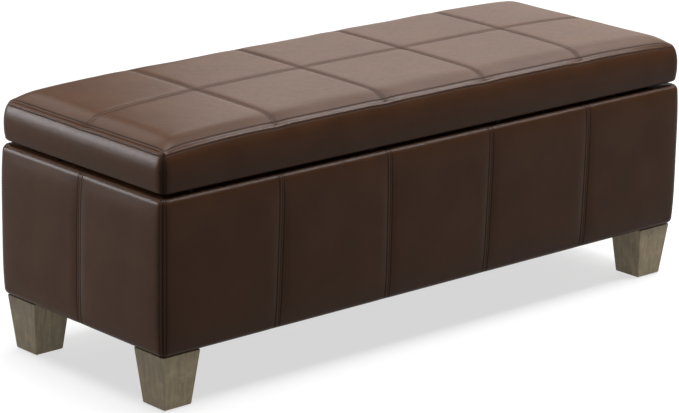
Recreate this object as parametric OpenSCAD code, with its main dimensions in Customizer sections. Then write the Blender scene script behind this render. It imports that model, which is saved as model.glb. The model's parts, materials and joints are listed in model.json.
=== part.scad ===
// Upholstered storage bench with a hinged, cushioned lid, four tapered wooden legs and a pair
// of soft-close lid stays. Millimetres, +Z up, front towards -Y. The origin is on the floor
// under the middle of the bench.

/* [Overall] */
// Length of the upholstered box, left to right
bench_length = 1220; // [1160:10:1500]
// Depth of the upholstered box, front to back
bench_depth = 444; // [400:2:520]
// Height of the box's underside above the floor
base_bottom = 98; // [70:1:140]
// Height of the box's upholstered rim above the floor
base_top = 367.5; // [340:0.5:420]

/* [Lid] */
// Height of the lid's stitched edge above the lid's underside
lid_edge_height = 76; // [60:1:100]
// Rise of the cushion's crown above the stitched edge
lid_crown = 12; // [6:1:18]
// How far the lid's sides stand back from the box's sides
lid_setback = 2; // [1:0.5:3]
// Thickness of the plywood lid board
lid_board_thickness = 15; // [15:1:21]

/* [Box] */
// Thickness of the four wall panels
panel_thickness = 15; // [12:1:18]
// Thickness of the storage floor board
floor_thickness = 9; // [6:1:12]
// Thickness of the foam on the box's outer faces
side_foam = 8.8; // [8.8:0.2:12.8]

/* [Legs] */
// Side of a leg's square top
leg_top_width = 78; // [60:1:84]
// Side of a leg's square foot
leg_foot_width = 57; // [40:1:70]
// Distance of a leg's middle from the box's outer faces
leg_inset = 45.5; // [45:0.5:60]

/* [Hinges and stays] */
// Length of each butt hinge
hinge_length = 76; // [65:1:100]
// Distance of each outer hinge from the middle hinge
hinge_spacing = 440; // [250:10:440]
// Length of the stay's arm, which is also its lid pivot's distance from the hinge line
stay_arm = 150; // [145:1:160]
// Distance of the stay's box pivot from the hinge line, both backwards and downwards
stay_offset = 60; // [58:1:64]

/* [Hidden] */
$fn = 48;

// Colours
leather_colour = [0.24, 0.16, 0.12];
wood_colour = [0.38, 0.34, 0.28];
board_colour = [0.72, 0.58, 0.40];
foam_colour = [0.93, 0.88, 0.70];
lining_colour = [0.08, 0.08, 0.09];
steel_colour = [0.60, 0.60, 0.62];
black_colour = [0.06, 0.06, 0.06];

// Amounts that keep cuts clean and fits free
fit_gap = 0.05;
cut = 1;

// Upholstery
cover_thickness = 1.2;
lining_thickness = 1;
dust_cover_thickness = 0.8;
seam_width = 1.6;
seam_depth = 0.4;

// Box: wooden walls inside foam inside the cover
half_length = bench_length / 2;
half_depth = bench_depth / 2;
padding = side_foam + cover_thickness;
wall_x = half_length - padding;
wall_y = half_depth - padding;
inner_x = wall_x - panel_thickness;
inner_y = wall_y - panel_thickness;
cover_bottom = base_bottom + dust_cover_thickness;
wall_bottom = cover_bottom + cover_thickness;
wall_top = base_top - cover_thickness;
base_edge_radius = padding - 0.5;
flange_width = 26;
fold_height = 30;
rail_width = 20;
rail_height = 30;
cleat_width = 20;

// Corner blocks carry the legs; the floor board clears the tee nuts above them.
block_side = 70;
block_height = 25;
block_top = wall_bottom + block_height;
floor_bottom = block_top + 2;
floor_top = floor_bottom + floor_thickness;

// Legs and their hardware
glide_height = 2;
glide_radius = 14;
leg_x = half_length - leg_inset;
leg_y = half_depth - leg_inset;
bolt_radius = 4;
bolt_in_leg = 40;
nut_barrel_radius = 5.5;
nut_barrel_length = 12;
nut_flange_radius = 11;
nut_flange_thickness = 1.5;

// Lid
lid_gap = 5;
lid_bottom = base_top + lid_gap;
lid_edge = lid_bottom + lid_edge_height;
lid_top = lid_edge + lid_crown;
lid_x = half_length - lid_setback;
lid_y = half_depth - lid_setback;
lid_edge_radius = 8;
lid_board_margin = 10;
shoulder_width = 48;
crown_radius = (shoulder_width * shoulder_width + lid_crown * lid_crown) / (2 * lid_crown);
board_bottom = lid_bottom + cover_thickness;
board_top = board_bottom + lid_board_thickness;
lid_fold = 38;
underlining_x = lid_x - lid_fold;
underlining_y = lid_y - lid_fold;
columns = 5;
panel_pitch = 2 * lid_x / columns;

// Hinges: the pin lies between the rounded rear edges of the box and the lid.
knuckle_radius = 3.25;
hinge_y = half_depth - knuckle_radius;
hinge_z = base_top + lid_gap / 2;
hinge_xs = [-hinge_spacing, 0, hinge_spacing];
pin_radius = 1.5;
pin_head_radius = 2.8;
pin_head_thickness = 1.2;
leaf_thickness = 2;
knuckle_count = 5;
knuckle_gap = 0.3;
knuckle_pitch = hinge_length / knuckle_count;
leaf_screw_y = inner_y - rail_width / 2;
leaf_edge_y = leaf_screw_y - 6;
leaf_screw_spacing = 26;

// Countersunk screws: [shank radius, head radius, length]
small_screw = [1.75, 3.4, 14];
large_screw = [2, 4, 40];

// Rim bumpers
bumper_radius = 6;
bumper_height = 4.8;
rim_middle = padding + panel_thickness / 2;

// Stays: hinge pin, box pivot, elbow and lid pivot are the corners of a parallelogram, so the
// arm always stays parallel to the lid and the link never turns.
lid_pivot_drop = 18;
lid_pivot_back = sqrt(stay_arm * stay_arm - lid_pivot_drop * lid_pivot_drop);
box_pivot = [hinge_y - stay_offset, hinge_z - stay_offset];
lid_pivot = [hinge_y - lid_pivot_back, hinge_z - lid_pivot_drop];
elbow = [box_pivot[0] - lid_pivot_back, box_pivot[1] - lid_pivot_drop];
link_length = norm(lid_pivot - elbow);
link_angle = atan2(lid_pivot[1] - elbow[1], lid_pivot[0] - elbow[0]);
arm_angle = atan2(elbow[1] - box_pivot[1], elbow[0] - box_pivot[0]);

// The stay's layers, from the lined end wall towards the middle of the bench
lining_face = inner_x - lining_thickness;
plate_thickness = 2;
plate_half_depth = 26;
plate_half_height = 23;
plate_screw_y = 21;
plate_screw_z = 17.5;
damper_thickness = 8;
damper_radius = 18;
bar_thickness = 3;
bar_gap = 0.5;
plate_face = lining_face - plate_thickness;
damper_face = plate_face - damper_thickness;
arm_outer = damper_face - bar_gap;
arm_inner = arm_outer - bar_thickness;
link_outer = arm_inner - bar_gap;
link_inner = link_outer - bar_thickness;
stud_radius = 4;
stud_head_radius = 6;
rivet_radius = 3;
rivet_head_radius = 4.8;
rivet_head_thickness = 1.3;
rivet_head_gap = 0.2;
open_pivot_gap = 0.15;
arm_eye_radius = 9;
link_eye_radius = 7.5;
bracket_eye_radius = 9;
eye_rim = 1.5;
bracket_flange = 22;
bracket_length = 52;
bracket_screw_spacing = 36;
bracket_screw_x = arm_inner - bracket_flange / 2 + bar_thickness / 2;

// ------------------------------------------------------------------ helpers

// A box given by its lowest and highest corners
module span(low, high) {
    translate(low) cube(high - low);
}

// Mirrors its children to the left end, or to the rear, when a side is -1
module on_side(side_x, side_y = 1) {
    mirror([side_x < 0 ? 1 : 0, 0, 0]) mirror([0, side_y < 0 ? 1 : 0, 0]) children();
}

// Repeats its children at the four legs
module at_legs() {
    for (side_x = [-1, 1], side_y = [-1, 1])
        translate([side_x * leg_x, side_y * leg_y, 0]) children();
}

// Extrudes a (depth, height) section along X
module along_x(half) {
    translate([-half, 0, 0]) rotate([90, 0, 90]) linear_extrude(2 * half) children();
}

// Extrudes a (length, height) section along Y
module along_y(half) {
    translate([0, half, 0]) rotate([90, 0, 0]) linear_extrude(2 * half) children();
}

// Section of a body with all four edges rounded
module rounded_section(half, low, high, radius) {
    translate([-half, low + radius]) square([2 * half, high - low - 2 * radius]);
    translate([-half + radius, low]) square([2 * half - 2 * radius, high - low]);
    for (side = [-1, 1], z = [low + radius, high - radius])
        translate([side * (half - radius), z]) circle(r = radius);
}

// A quarter of a rectangle's surroundings, cut at 45 degrees from its corners
module mitred(which, half_x, half_y, low, high) {
    reach = 60;
    along = which == "front" || which == "rear";
    sign = which == "front" || which == "left" ? -1 : 1;
    long = along ? half_x : half_y;
    far = sign * (along ? half_y : half_x);
    near = far - sign * reach;
    across = [[-long, far], [long, far], [long - reach, near], [-long + reach, near]];
    outline = along ? across : [for (p = across) [p[1], p[0]]];
    intersection() {
        children();
        translate([0, 0, low - cut]) linear_extrude(high - low + 2 * cut) polygon(outline);
    }
}

// Countersunk screw, its head's top at the origin and its shank pointing down
module screw(size) {
    cone = size[1] - size[0];
    translate([0, 0, -cone]) cylinder(h = cone, r1 = size[0], r2 = size[1]);
    translate([0, 0, -size[2]]) cylinder(h = size[2] - cone, r = size[0]);
}

// Clearance for that screw
module screw_hole(size) {
    cone = size[1] - size[0];
    translate([0, 0, -cone]) cylinder(h = cone, r1 = size[0] + fit_gap, r2 = size[1] + fit_gap);
    translate([0, 0, -size[2] - fit_gap]) cylinder(h = size[2], r = size[0] + fit_gap);
    cylinder(h = 20, r = size[1] + fit_gap);
}

// ------------------------------------------------------------------ shared positions

// Each leaf has a row of screws; the box's point down and the lid's point up.
module at_leaf_screws(upper) {
    for (x = hinge_xs, step = [-1, 0, 1])
        translate([x + step * leaf_screw_spacing, leaf_screw_y, hinge_z])
            mirror([0, 0, upper ? 1 : 0]) translate([0, 0, -lid_gap / 2 + leaf_thickness]) children();
}

// The stay plates' screws point outwards into the end walls.
module at_plate_screws() {
    for (side = [-1, 1], sy = [-1, 1], sz = [-1, 1])
        on_side(side)
            translate([plate_face, box_pivot[0] + sy * plate_screw_y, box_pivot[1] + sz * plate_screw_z])
                rotate([0, -90, 0]) children();
}

// The lid brackets' screws point up into the lid board.
module at_bracket_screws() {
    for (side = [-1, 1], sy = [-1, 1])
        on_side(side)
            translate([bracket_screw_x, lid_pivot[0] + sy * bracket_screw_spacing / 2,
                       lid_bottom - leaf_thickness])
                mirror([0, 0, 1]) children();
}

// Screws through the long walls into the end walls' edges and the corner blocks, and through
// the end walls into the corner blocks
module at_panel_screws() {
    rise = (wall_top - wall_bottom) / 4;
    for (side_x = [-1, 1], side_y = [-1, 1]) on_side(side_x, side_y) {
        for (step = [1, 2, 3])
            translate([wall_x - panel_thickness / 2, wall_y, wall_bottom + step * rise])
                rotate([-90, 0, 0]) children();
        translate([inner_x - block_side / 2, wall_y, wall_bottom + block_height / 2])
            rotate([-90, 0, 0]) children();
        translate([wall_x, inner_y - block_side / 2, wall_bottom + block_height / 2])
            rotate([0, 90, 0]) children();
    }
}

// ------------------------------------------------------------------ wooden box

module front_panel() {
    color(board_colour) difference() {
        span([-wall_x, -wall_y, wall_bottom], [wall_x, -inner_y, wall_top]);
        at_panel_screws() screw_hole(large_screw);
    }
}

module rear_panel() {
    color(board_colour) difference() {
        span([-wall_x, inner_y, wall_bottom], [wall_x, wall_y, wall_top]);
        at_panel_screws() screw_hole(large_screw);
    }
}

module end_panel(side) {
    color(board_colour) difference() {
        on_side(side) span([inner_x, -inner_y, wall_bottom], [wall_x, inner_y, wall_top]);
        at_panel_screws() screw_hole(large_screw);
        at_plate_screws() screw_hole(small_screw);
    }
}

module left_end_panel() {
    end_panel(-1);
}

module right_end_panel() {
    end_panel(1);
}

module storage_floor() {
    color(board_colour) span([-inner_x, -inner_y, floor_bottom], [inner_x, inner_y, floor_top]);
}

// The floor board's cleats run between the corner blocks.
module floor_cleat(side) {
    end = inner_x - block_side;
    color(board_colour) on_side(1, side)
        span([-end, inner_y - cleat_width, wall_bottom], [end, inner_y, floor_bottom]);
}

module floor_cleat_front() {
    floor_cleat(-1);
}

module floor_cleat_rear() {
    floor_cleat(1);
}

// The hinges are screwed into this rail along the rear wall's rim.
module hinge_rail() {
    end = inner_x - cover_thickness;
    color(board_colour) difference() {
        span([-end, inner_y - rail_width, wall_top - rail_height], [end, inner_y, wall_top]);
        at_leaf_screws(false) screw_hole(small_screw);
    }
}

module corner_block(side_x, side_y) {
    color(board_colour) difference() {
        on_side(side_x, side_y)
            span([inner_x - block_side, inner_y - block_side, wall_bottom], [inner_x, inner_y, block_top]);
        at_legs() translate([0, 0, wall_bottom - cut])
            cylinder(h = block_height + 2 * cut, r = nut_barrel_radius + fit_gap);
        at_panel_screws() screw_hole(large_screw);
    }
}

module corner_block_front_left() {
    corner_block(-1, -1);
}

module corner_block_front_right() {
    corner_block(1, -1);
}

module corner_block_rear_left() {
    corner_block(-1, 1);
}

module corner_block_rear_right() {
    corner_block(1, 1);
}

module panel_screws() {
    color(steel_colour) at_panel_screws() screw(large_screw);
}

// ------------------------------------------------------------------ legs

// Section of a leg, which tapers the same way on all four sides
module leg_section() {
    top = leg_top_width / 2;
    foot = leg_foot_width / 2;
    polygon([[-foot, glide_height], [foot, glide_height], [top, base_bottom], [-top, base_bottom]]);
}

module leg(side_x, side_y) {
    color(wood_colour) translate([side_x * leg_x, side_y * leg_y, 0]) difference() {
        intersection() {
            along_x(leg_top_width / 2) leg_section();
            along_y(leg_top_width / 2) leg_section();
        }
        translate([0, 0, base_bottom - bolt_in_leg])
            cylinder(h = bolt_in_leg + cut, r = bolt_radius + fit_gap);
    }
}

module leg_front_left() {
    leg(-1, -1);
}

module leg_front_right() {
    leg(1, -1);
}

module leg_rear_left() {
    leg(-1, 1);
}

module leg_rear_right() {
    leg(1, 1);
}

// Each bolt is screwed into its leg and rises through its tee nut.
module leg_hanger_bolts() {
    low = base_bottom - bolt_in_leg;
    color(steel_colour) at_legs() translate([0, 0, low])
        cylinder(h = block_top + nut_flange_thickness - low, r = bolt_radius);
}

module leg_tee_nuts() {
    color(steel_colour) at_legs() difference() {
        union() {
            translate([0, 0, block_top - nut_barrel_length])
                cylinder(h = nut_barrel_length, r = nut_barrel_radius);
            translate([0, 0, block_top]) cylinder(h = nut_flange_thickness, r = nut_flange_radius);
        }
        translate([0, 0, block_top - nut_barrel_length - cut])
            cylinder(h = nut_barrel_length + nut_flange_thickness + 2 * cut, r = bolt_radius + fit_gap);
    }
}

module leg_glides() {
    color(black_colour) at_legs() cylinder(h = glide_height, r = glide_radius);
}

// ------------------------------------------------------------------ box upholstery

// The box's padded outline, moved inwards by an inset
module box_form(inset) {
    low = cover_bottom + inset;
    high = base_top - inset;
    radius = base_edge_radius - inset;
    intersection() {
        along_x(half_length - inset) rounded_section(half_depth - inset, low, high, radius);
        along_y(half_depth - inset) rounded_section(half_length - inset, low, high, radius);
    }
}

// Foam slab glued to one wall
module base_foam(which) {
    color(foam_colour) mitred(which, half_length, half_depth, wall_bottom, wall_top) difference() {
        box_form(cover_thickness);
        span([-wall_x, -wall_y, wall_bottom - cut], [wall_x, wall_y, wall_top + cut]);
    }
}

module base_foam_front() {
    base_foam("front");
}

module base_foam_rear() {
    base_foam("rear");
}

module base_foam_left() {
    base_foam("left");
}

module base_foam_right() {
    base_foam("right");
}

// One sewn side of the cover: it wraps the foam, laps under the box and over the rim.
module cover_wrap(which) {
    mitred(which, half_length, half_depth, cover_bottom, base_top) difference() {
        box_form(0);
        intersection() {
            box_form(cover_thickness);
            span([-half_length, -half_depth, wall_bottom], [half_length, half_depth, wall_top]);
        }
        span([-inner_x, -inner_y, wall_bottom], [inner_x, inner_y, base_top + cut]);
        span([-wall_x + flange_width, -wall_y + flange_width, cover_bottom - cut],
             [wall_x - flange_width, wall_y - flange_width, wall_bottom + cut]);
    }
}

// The cover's lap down the inside of a wall
module inner_fold(which) {
    mitred(which, half_length, half_depth, base_top - fold_height, base_top) difference() {
        span([-inner_x, -inner_y, base_top - fold_height], [inner_x, inner_y, base_top]);
        span([-inner_x + cover_thickness, -inner_y + cover_thickness, base_top - fold_height - cut],
             [inner_x - cover_thickness, inner_y - cover_thickness, base_top + cut]);
    }
}

// Shallow groove of a vertical seam in the outer face, at a place along X or Y
module seam_groove(x, y, turn) {
    translate([x, y, (cover_bottom + base_top) / 2]) rotate([0, 0, turn])
        cube([seam_width, 2 * seam_depth, base_top - cover_bottom + 2 * cut], center = true);
}

module base_cover_front() {
    color(leather_colour) difference() {
        union() {
            cover_wrap("front");
            inner_fold("front");
        }
        for (step = [1 : columns - 1])
            seam_groove(-lid_x + step * panel_pitch, -half_depth, 0);
    }
}

module base_cover_end(side) {
    which = side < 0 ? "left" : "right";
    color(leather_colour) difference() {
        union() {
            cover_wrap(which);
            inner_fold(which);
        }
        seam_groove(side * half_length, 0, 90);
    }
}

module base_cover_left() {
    base_cover_end(-1);
}

module base_cover_right() {
    base_cover_end(1);
}

// At the rear the cover runs on over the hinge rail before it laps down.
module base_cover_rear() {
    end = inner_x - cover_thickness;
    rail_face = inner_y - rail_width;
    color(leather_colour) difference() {
        union() {
            cover_wrap("rear");
            span([-end, rail_face - cover_thickness, wall_top], [end, inner_y, base_top]);
            span([-end, rail_face - cover_thickness, base_top - fold_height], [end, rail_face, base_top]);
        }
        at_leaf_screws(false) screw_hole(small_screw);
    }
}

module wall_lining() {
    high = wall_top - rail_height;
    color(lining_colour) difference() {
        span([-inner_x, -inner_y, floor_top], [inner_x, inner_y, high]);
        span([-lining_face, -inner_y + lining_thickness, floor_top - cut],
             [lining_face, inner_y - lining_thickness, high + cut]);
        at_plate_screws() screw_hole(small_screw);
    }
}

module floor_lining() {
    color(lining_colour)
        span([-lining_face, -inner_y + lining_thickness, floor_top],
             [lining_face, inner_y - lining_thickness, floor_top + lining_thickness]);
}

module dust_cover() {
    margin = base_edge_radius + 4;
    color(lining_colour) difference() {
        span([-half_length + margin, -half_depth + margin, base_bottom],
             [half_length - margin, half_depth - margin, cover_bottom]);
        at_legs() translate([0, 0, base_bottom - cut])
            cylinder(h = dust_cover_thickness + 2 * cut, r = bolt_radius + 1);
    }
}

module rim_bumpers() {
    color(black_colour) for (side = [-1, 1]) {
        for (x = [150, half_length - 70])
            translate([side * x, -half_depth + rim_middle, base_top])
                cylinder(h = bumper_height, r = bumper_radius);
        translate([side * (half_length - rim_middle), half_depth / 3, base_top])
            cylinder(h = bumper_height, r = bumper_radius);
    }
}

// ------------------------------------------------------------------ lid

// Section of the lid: rounded below, upright sides, crowned above
module lid_section(half, inset) {
    side = half - inset;
    low = lid_bottom + inset;
    high = lid_top - inset;
    radius = lid_edge_radius - inset;
    crown = crown_radius - inset;
    flat = half - shoulder_width;
    difference() {
        union() {
            translate([-side, low + radius]) square([2 * side, lid_edge - low - radius + lid_crown]);
            translate([-side + radius, low]) square([2 * side - 2 * radius, 2 * radius]);
            for (end = [-1, 1])
                translate([end * (side - radius), low + radius]) circle(r = radius);
        }
        translate([-half, high]) square([2 * half, 2 * lid_crown]);
        for (end = [-1, 1]) difference() {
            translate([end > 0 ? flat : -half, lid_edge - 2 * lid_crown])
                square([shoulder_width, 4 * lid_crown]);
            translate([end * flat, high - crown]) circle(r = crown, $fn = 240);
        }
    }
}

// The cushion's outline, moved inwards by an inset
module lid_form(inset) {
    intersection() {
        along_x(lid_x - inset) lid_section(lid_y, inset);
        along_y(lid_y - inset) lid_section(lid_x, inset);
    }
}

module lid_board() {
    color(board_colour) difference() {
        span([-lid_x + lid_board_margin, -lid_y + lid_board_margin, board_bottom],
             [lid_x - lid_board_margin, lid_y - lid_board_margin, board_top]);
        at_leaf_screws(true) screw_hole(small_screw);
        at_bracket_screws() screw_hole(small_screw);
    }
}

// One block of foam on the board, wrapped down round its edges
module lid_foam() {
    color(foam_colour) difference() {
        lid_form(cover_thickness);
        span([-lid_x + lid_board_margin, -lid_y + lid_board_margin, lid_bottom],
             [lid_x - lid_board_margin, lid_y - lid_board_margin, board_top]);
    }
}

// The sewn skin of the lid, open below where the underlining goes
module lid_skin() {
    difference() {
        lid_form(0);
        lid_form(cover_thickness);
        span([-underlining_x, -underlining_y, lid_bottom - cut],
             [underlining_x, underlining_y, board_bottom + cut]);
        at_leaf_screws(true) screw_hole(small_screw);
        at_bracket_screws() screw_hole(small_screw);
    }
}

// Ten sewn top panels, with shallow grooves where their seams are
module lid_cover_top() {
    color(leather_colour) difference() {
        intersection() {
            lid_skin();
            span([-lid_x, -lid_y, lid_edge], [lid_x, lid_y, lid_top]);
        }
        for (step = [1 : columns - 1])
            translate([-lid_x + step * panel_pitch - seam_width / 2, -lid_y, lid_top - seam_depth])
                cube([seam_width, 2 * lid_y, lid_crown]);
        translate([-lid_x, -seam_width / 2, lid_top - seam_depth])
            cube([2 * lid_x, seam_width, lid_crown]);
    }
}

module lid_band(which) {
    color(leather_colour) mitred(which, lid_x, lid_y, lid_bottom, lid_edge) intersection() {
        lid_skin();
        span([-lid_x, -lid_y, lid_bottom], [lid_x, lid_y, lid_edge]);
    }
}

module lid_band_front() {
    lid_band("front");
}

module lid_band_rear() {
    lid_band("rear");
}

module lid_band_left() {
    lid_band("left");
}

module lid_band_right() {
    lid_band("right");
}

module lid_underlining() {
    color(lining_colour) difference() {
        span([-underlining_x, -underlining_y, lid_bottom],
             [underlining_x, underlining_y, board_bottom]);
        at_leaf_screws(true) screw_hole(small_screw);
        at_bracket_screws() screw_hole(small_screw);
    }
}

// ------------------------------------------------------------------ hinges

// One leaf of a hinge; the box's leaf carries the odd knuckles and the lid's the even ones.
module hinge_leaf(x, upper) {
    first = upper ? 1 : 0;
    tongue_end = hinge_y - pin_radius - 2 * knuckle_gap;
    low_face = -lid_gap / 2;
    high_face = low_face + leaf_thickness;
    color(steel_colour) difference() {
        translate([x, 0, hinge_z]) mirror([0, 0, upper ? 1 : 0]) difference() {
            union() {
                span([-hinge_length / 2, leaf_edge_y, low_face],
                     [hinge_length / 2, hinge_y - knuckle_radius - knuckle_gap, high_face]);
                for (k = [first : 2 : knuckle_count - 1]) {
                    low = -hinge_length / 2 + k * knuckle_pitch + knuckle_gap / 2;
                    high = low + knuckle_pitch - knuckle_gap;
                    span([low, hinge_y - knuckle_radius - 2 * knuckle_gap, low_face],
                         [high, tongue_end, high_face]);
                    translate([low, hinge_y, 0]) rotate([0, 90, 0])
                        cylinder(h = high - low, r = knuckle_radius);
                }
            }
            translate([-hinge_length, hinge_y, 0]) rotate([0, 90, 0])
                cylinder(h = 2 * hinge_length, r = pin_radius + fit_gap);
        }
        at_leaf_screws(upper) screw_hole(small_screw);
    }
}

module hinge_base_leaf_left() {
    hinge_leaf(hinge_xs[0], false);
}

module hinge_base_leaf_middle() {
    hinge_leaf(hinge_xs[1], false);
}

module hinge_base_leaf_right() {
    hinge_leaf(hinge_xs[2], false);
}

module hinge_lid_leaf_left() {
    hinge_leaf(hinge_xs[0], true);
}

module hinge_lid_leaf_middle() {
    hinge_leaf(hinge_xs[1], true);
}

module hinge_lid_leaf_right() {
    hinge_leaf(hinge_xs[2], true);
}

// Pins with small heads at both ends
module hinge_pins() {
    half = hinge_length / 2 + knuckle_gap;
    color(steel_colour) for (x = hinge_xs) translate([x, hinge_y, hinge_z]) rotate([0, 90, 0]) {
        cylinder(h = 2 * half, r = pin_radius, center = true);
        for (end = [-1, 1])
            translate([0, 0, end * (half + pin_head_thickness / 2)])
                cylinder(h = pin_head_thickness, r = pin_head_radius, center = true);
    }
}

// The countersunk screws fixed to the box, and those fixed to the lid
module base_hardware_screws() {
    color(steel_colour) {
        at_leaf_screws(false) screw(small_screw);
        at_plate_screws() screw(small_screw);
    }
}

module lid_hardware_screws() {
    color(steel_colour) {
        at_leaf_screws(true) screw(small_screw);
        at_bracket_screws() screw(small_screw);
    }
}

// ------------------------------------------------------------------ stays

// A cylinder along X between two distances from the middle of the bench
module spindle(point, low, high, radius) {
    translate([low, point[0], point[1]]) rotate([0, 90, 0]) cylinder(h = high - low, r = radius);
}

// Flat bar between two pivots, with a wider round eye at each
module bar(start, angle, length, eye_radius, low, high) {
    half_width = eye_radius - eye_rim;
    translate([low, start[0], start[1]]) rotate([angle, 0, 0])
        span([0, 0, -half_width], [high - low, length, half_width]);
    spindle(start, low, high, eye_radius);
    spindle([start[0] + length * cos(angle), start[1] + length * sin(angle)], low, high, eye_radius);
}

// Screwed to the end wall, with the stud the arm turns on
module stay_plate(side) {
    y = box_pivot[0];
    z = box_pivot[1];
    color(black_colour) difference() {
        on_side(side) {
            span([plate_face, y - plate_half_depth, z - plate_half_height],
                 [lining_face, y + plate_half_depth, z + plate_half_height]);
            spindle(box_pivot, arm_inner - rivet_head_gap, plate_face, stud_radius);
            spindle(box_pivot, arm_inner - rivet_head_gap - rivet_head_thickness,
                    arm_inner - rivet_head_gap, stud_head_radius);
        }
        at_plate_screws() screw_hole(small_screw);
    }
}

module stay_plate_left() {
    stay_plate(-1);
}

module stay_plate_right() {
    stay_plate(1);
}

// Ring-shaped rotary damper between the plate and the arm
module stay_damper(side) {
    color(black_colour) on_side(side) difference() {
        spindle(box_pivot, damper_face, plate_face, damper_radius);
        spindle(box_pivot, damper_face - cut, plate_face + cut, stud_radius + fit_gap);
    }
}

module stay_damper_left() {
    stay_damper(-1);
}

module stay_damper_right() {
    stay_damper(1);
}

// The arm carries the elbow's rivet.
module stay_arm(side) {
    color(steel_colour) on_side(side) {
        difference() {
            bar(box_pivot, arm_angle, stay_arm, arm_eye_radius, arm_inner, arm_outer);
            spindle(box_pivot, arm_inner - cut, arm_outer + cut, stud_radius + fit_gap);
        }
        spindle(elbow, link_inner - rivet_head_gap, arm_inner, rivet_radius);
        spindle(elbow, link_inner - rivet_head_gap - rivet_head_thickness,
                link_inner - rivet_head_gap, rivet_head_radius);
    }
}

module stay_arm_left() {
    stay_arm(-1);
}

module stay_arm_right() {
    stay_arm(1);
}

module stay_link(side) {
    color(steel_colour) on_side(side) difference() {
        bar(elbow, link_angle, link_length, link_eye_radius, link_inner, link_outer);
        spindle(elbow, link_inner - cut, link_outer + cut, rivet_radius + fit_gap);
        spindle(lid_pivot, link_inner - cut, link_outer + cut, rivet_radius + open_pivot_gap);
    }
}

module stay_link_left() {
    stay_link(-1);
}

module stay_link_right() {
    stay_link(1);
}

// Angle bracket under the lid: its ear carries the rivet of the link's upper end.
module stay_bracket(side) {
    flange_top = lid_bottom;
    flange_bottom = lid_bottom - leaf_thickness;
    color(black_colour) difference() {
        on_side(side) {
            span([arm_outer - bracket_flange, lid_pivot[0] - bracket_length / 2, flange_bottom],
                 [arm_outer, lid_pivot[0] + bracket_length / 2, flange_top]);
            span([arm_inner, lid_pivot[0] - bracket_eye_radius + eye_rim, lid_pivot[1]],
                 [arm_outer, lid_pivot[0] + bracket_eye_radius - eye_rim, flange_top]);
            spindle(lid_pivot, arm_inner, arm_outer, bracket_eye_radius);
            spindle(lid_pivot, link_inner - rivet_head_gap, arm_inner, rivet_radius);
            spindle(lid_pivot, link_inner - rivet_head_gap - rivet_head_thickness,
                    link_inner - rivet_head_gap, rivet_head_radius);
        }
        at_bracket_screws() screw_hole(small_screw);
    }
}

module stay_bracket_left() {
    stay_bracket(-1);
}

module stay_bracket_right() {
    stay_bracket(1);
}

// ------------------------------------------------------------------ nodes

front_panel();
rear_panel();
left_end_panel();
right_end_panel();
storage_floor();
floor_cleat_front();
floor_cleat_rear();
hinge_rail();
corner_block_front_left();
corner_block_front_right();
corner_block_rear_left();
corner_block_rear_right();
leg_front_left();
leg_front_right();
leg_rear_left();
leg_rear_right();
leg_hanger_bolts();
leg_tee_nuts();
leg_glides();
panel_screws();
base_foam_front();
base_foam_rear();
base_foam_left();
base_foam_right();
base_cover_front();
base_cover_rear();
base_cover_left();
base_cover_right();
wall_lining();
floor_lining();
dust_cover();
hinge_base_leaf_left();
hinge_base_leaf_middle();
hinge_base_leaf_right();
hinge_pins();
base_hardware_screws();
rim_bumpers();
stay_plate_left();
stay_plate_right();
stay_damper_left();
stay_damper_right();
lid_board();
lid_foam();
lid_cover_top();
lid_band_front();
lid_band_rear();
lid_band_left();
lid_band_right();
lid_underlining();
hinge_lid_leaf_left();
hinge_lid_leaf_middle();
hinge_lid_leaf_right();
stay_bracket_left();
stay_bracket_right();
lid_hardware_screws();
stay_arm_left();
stay_arm_right();
stay_link_left();
stay_link_right();
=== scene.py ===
"""Storage bench in Blender: sewn faux-leather upholstery, wooden legs, linings and hardware.

Everything is in metres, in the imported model's frame: X runs along the bench, -Y is its front and
Z is up from the floor.
"""
import json
import math
from collections import namedtuple

import bpy
import bmesh
import numpy as np
from mathutils import Matrix, Vector

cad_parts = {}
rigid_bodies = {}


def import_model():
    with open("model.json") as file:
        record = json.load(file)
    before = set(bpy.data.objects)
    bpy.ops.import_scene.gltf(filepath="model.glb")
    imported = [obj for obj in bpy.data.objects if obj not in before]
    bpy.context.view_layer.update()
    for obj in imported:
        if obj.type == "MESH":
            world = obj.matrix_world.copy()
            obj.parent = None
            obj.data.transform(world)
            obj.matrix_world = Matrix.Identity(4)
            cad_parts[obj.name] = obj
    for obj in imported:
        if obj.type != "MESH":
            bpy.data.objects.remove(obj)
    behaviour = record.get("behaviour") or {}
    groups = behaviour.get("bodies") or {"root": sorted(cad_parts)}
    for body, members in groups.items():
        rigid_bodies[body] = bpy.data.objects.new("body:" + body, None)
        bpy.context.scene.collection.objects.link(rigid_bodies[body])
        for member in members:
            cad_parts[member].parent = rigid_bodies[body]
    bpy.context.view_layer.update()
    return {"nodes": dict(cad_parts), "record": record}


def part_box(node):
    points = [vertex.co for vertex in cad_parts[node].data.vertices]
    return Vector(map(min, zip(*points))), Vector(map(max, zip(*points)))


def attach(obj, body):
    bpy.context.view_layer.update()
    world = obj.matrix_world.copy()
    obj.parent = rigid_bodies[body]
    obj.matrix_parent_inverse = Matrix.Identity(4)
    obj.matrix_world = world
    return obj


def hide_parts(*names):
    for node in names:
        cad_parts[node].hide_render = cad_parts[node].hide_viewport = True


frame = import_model()
MM = 0.001

# ------------ sizes, from the frame


def low_of(node):
    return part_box(node)[0]


def high_of(node):
    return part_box(node)[1]


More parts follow.
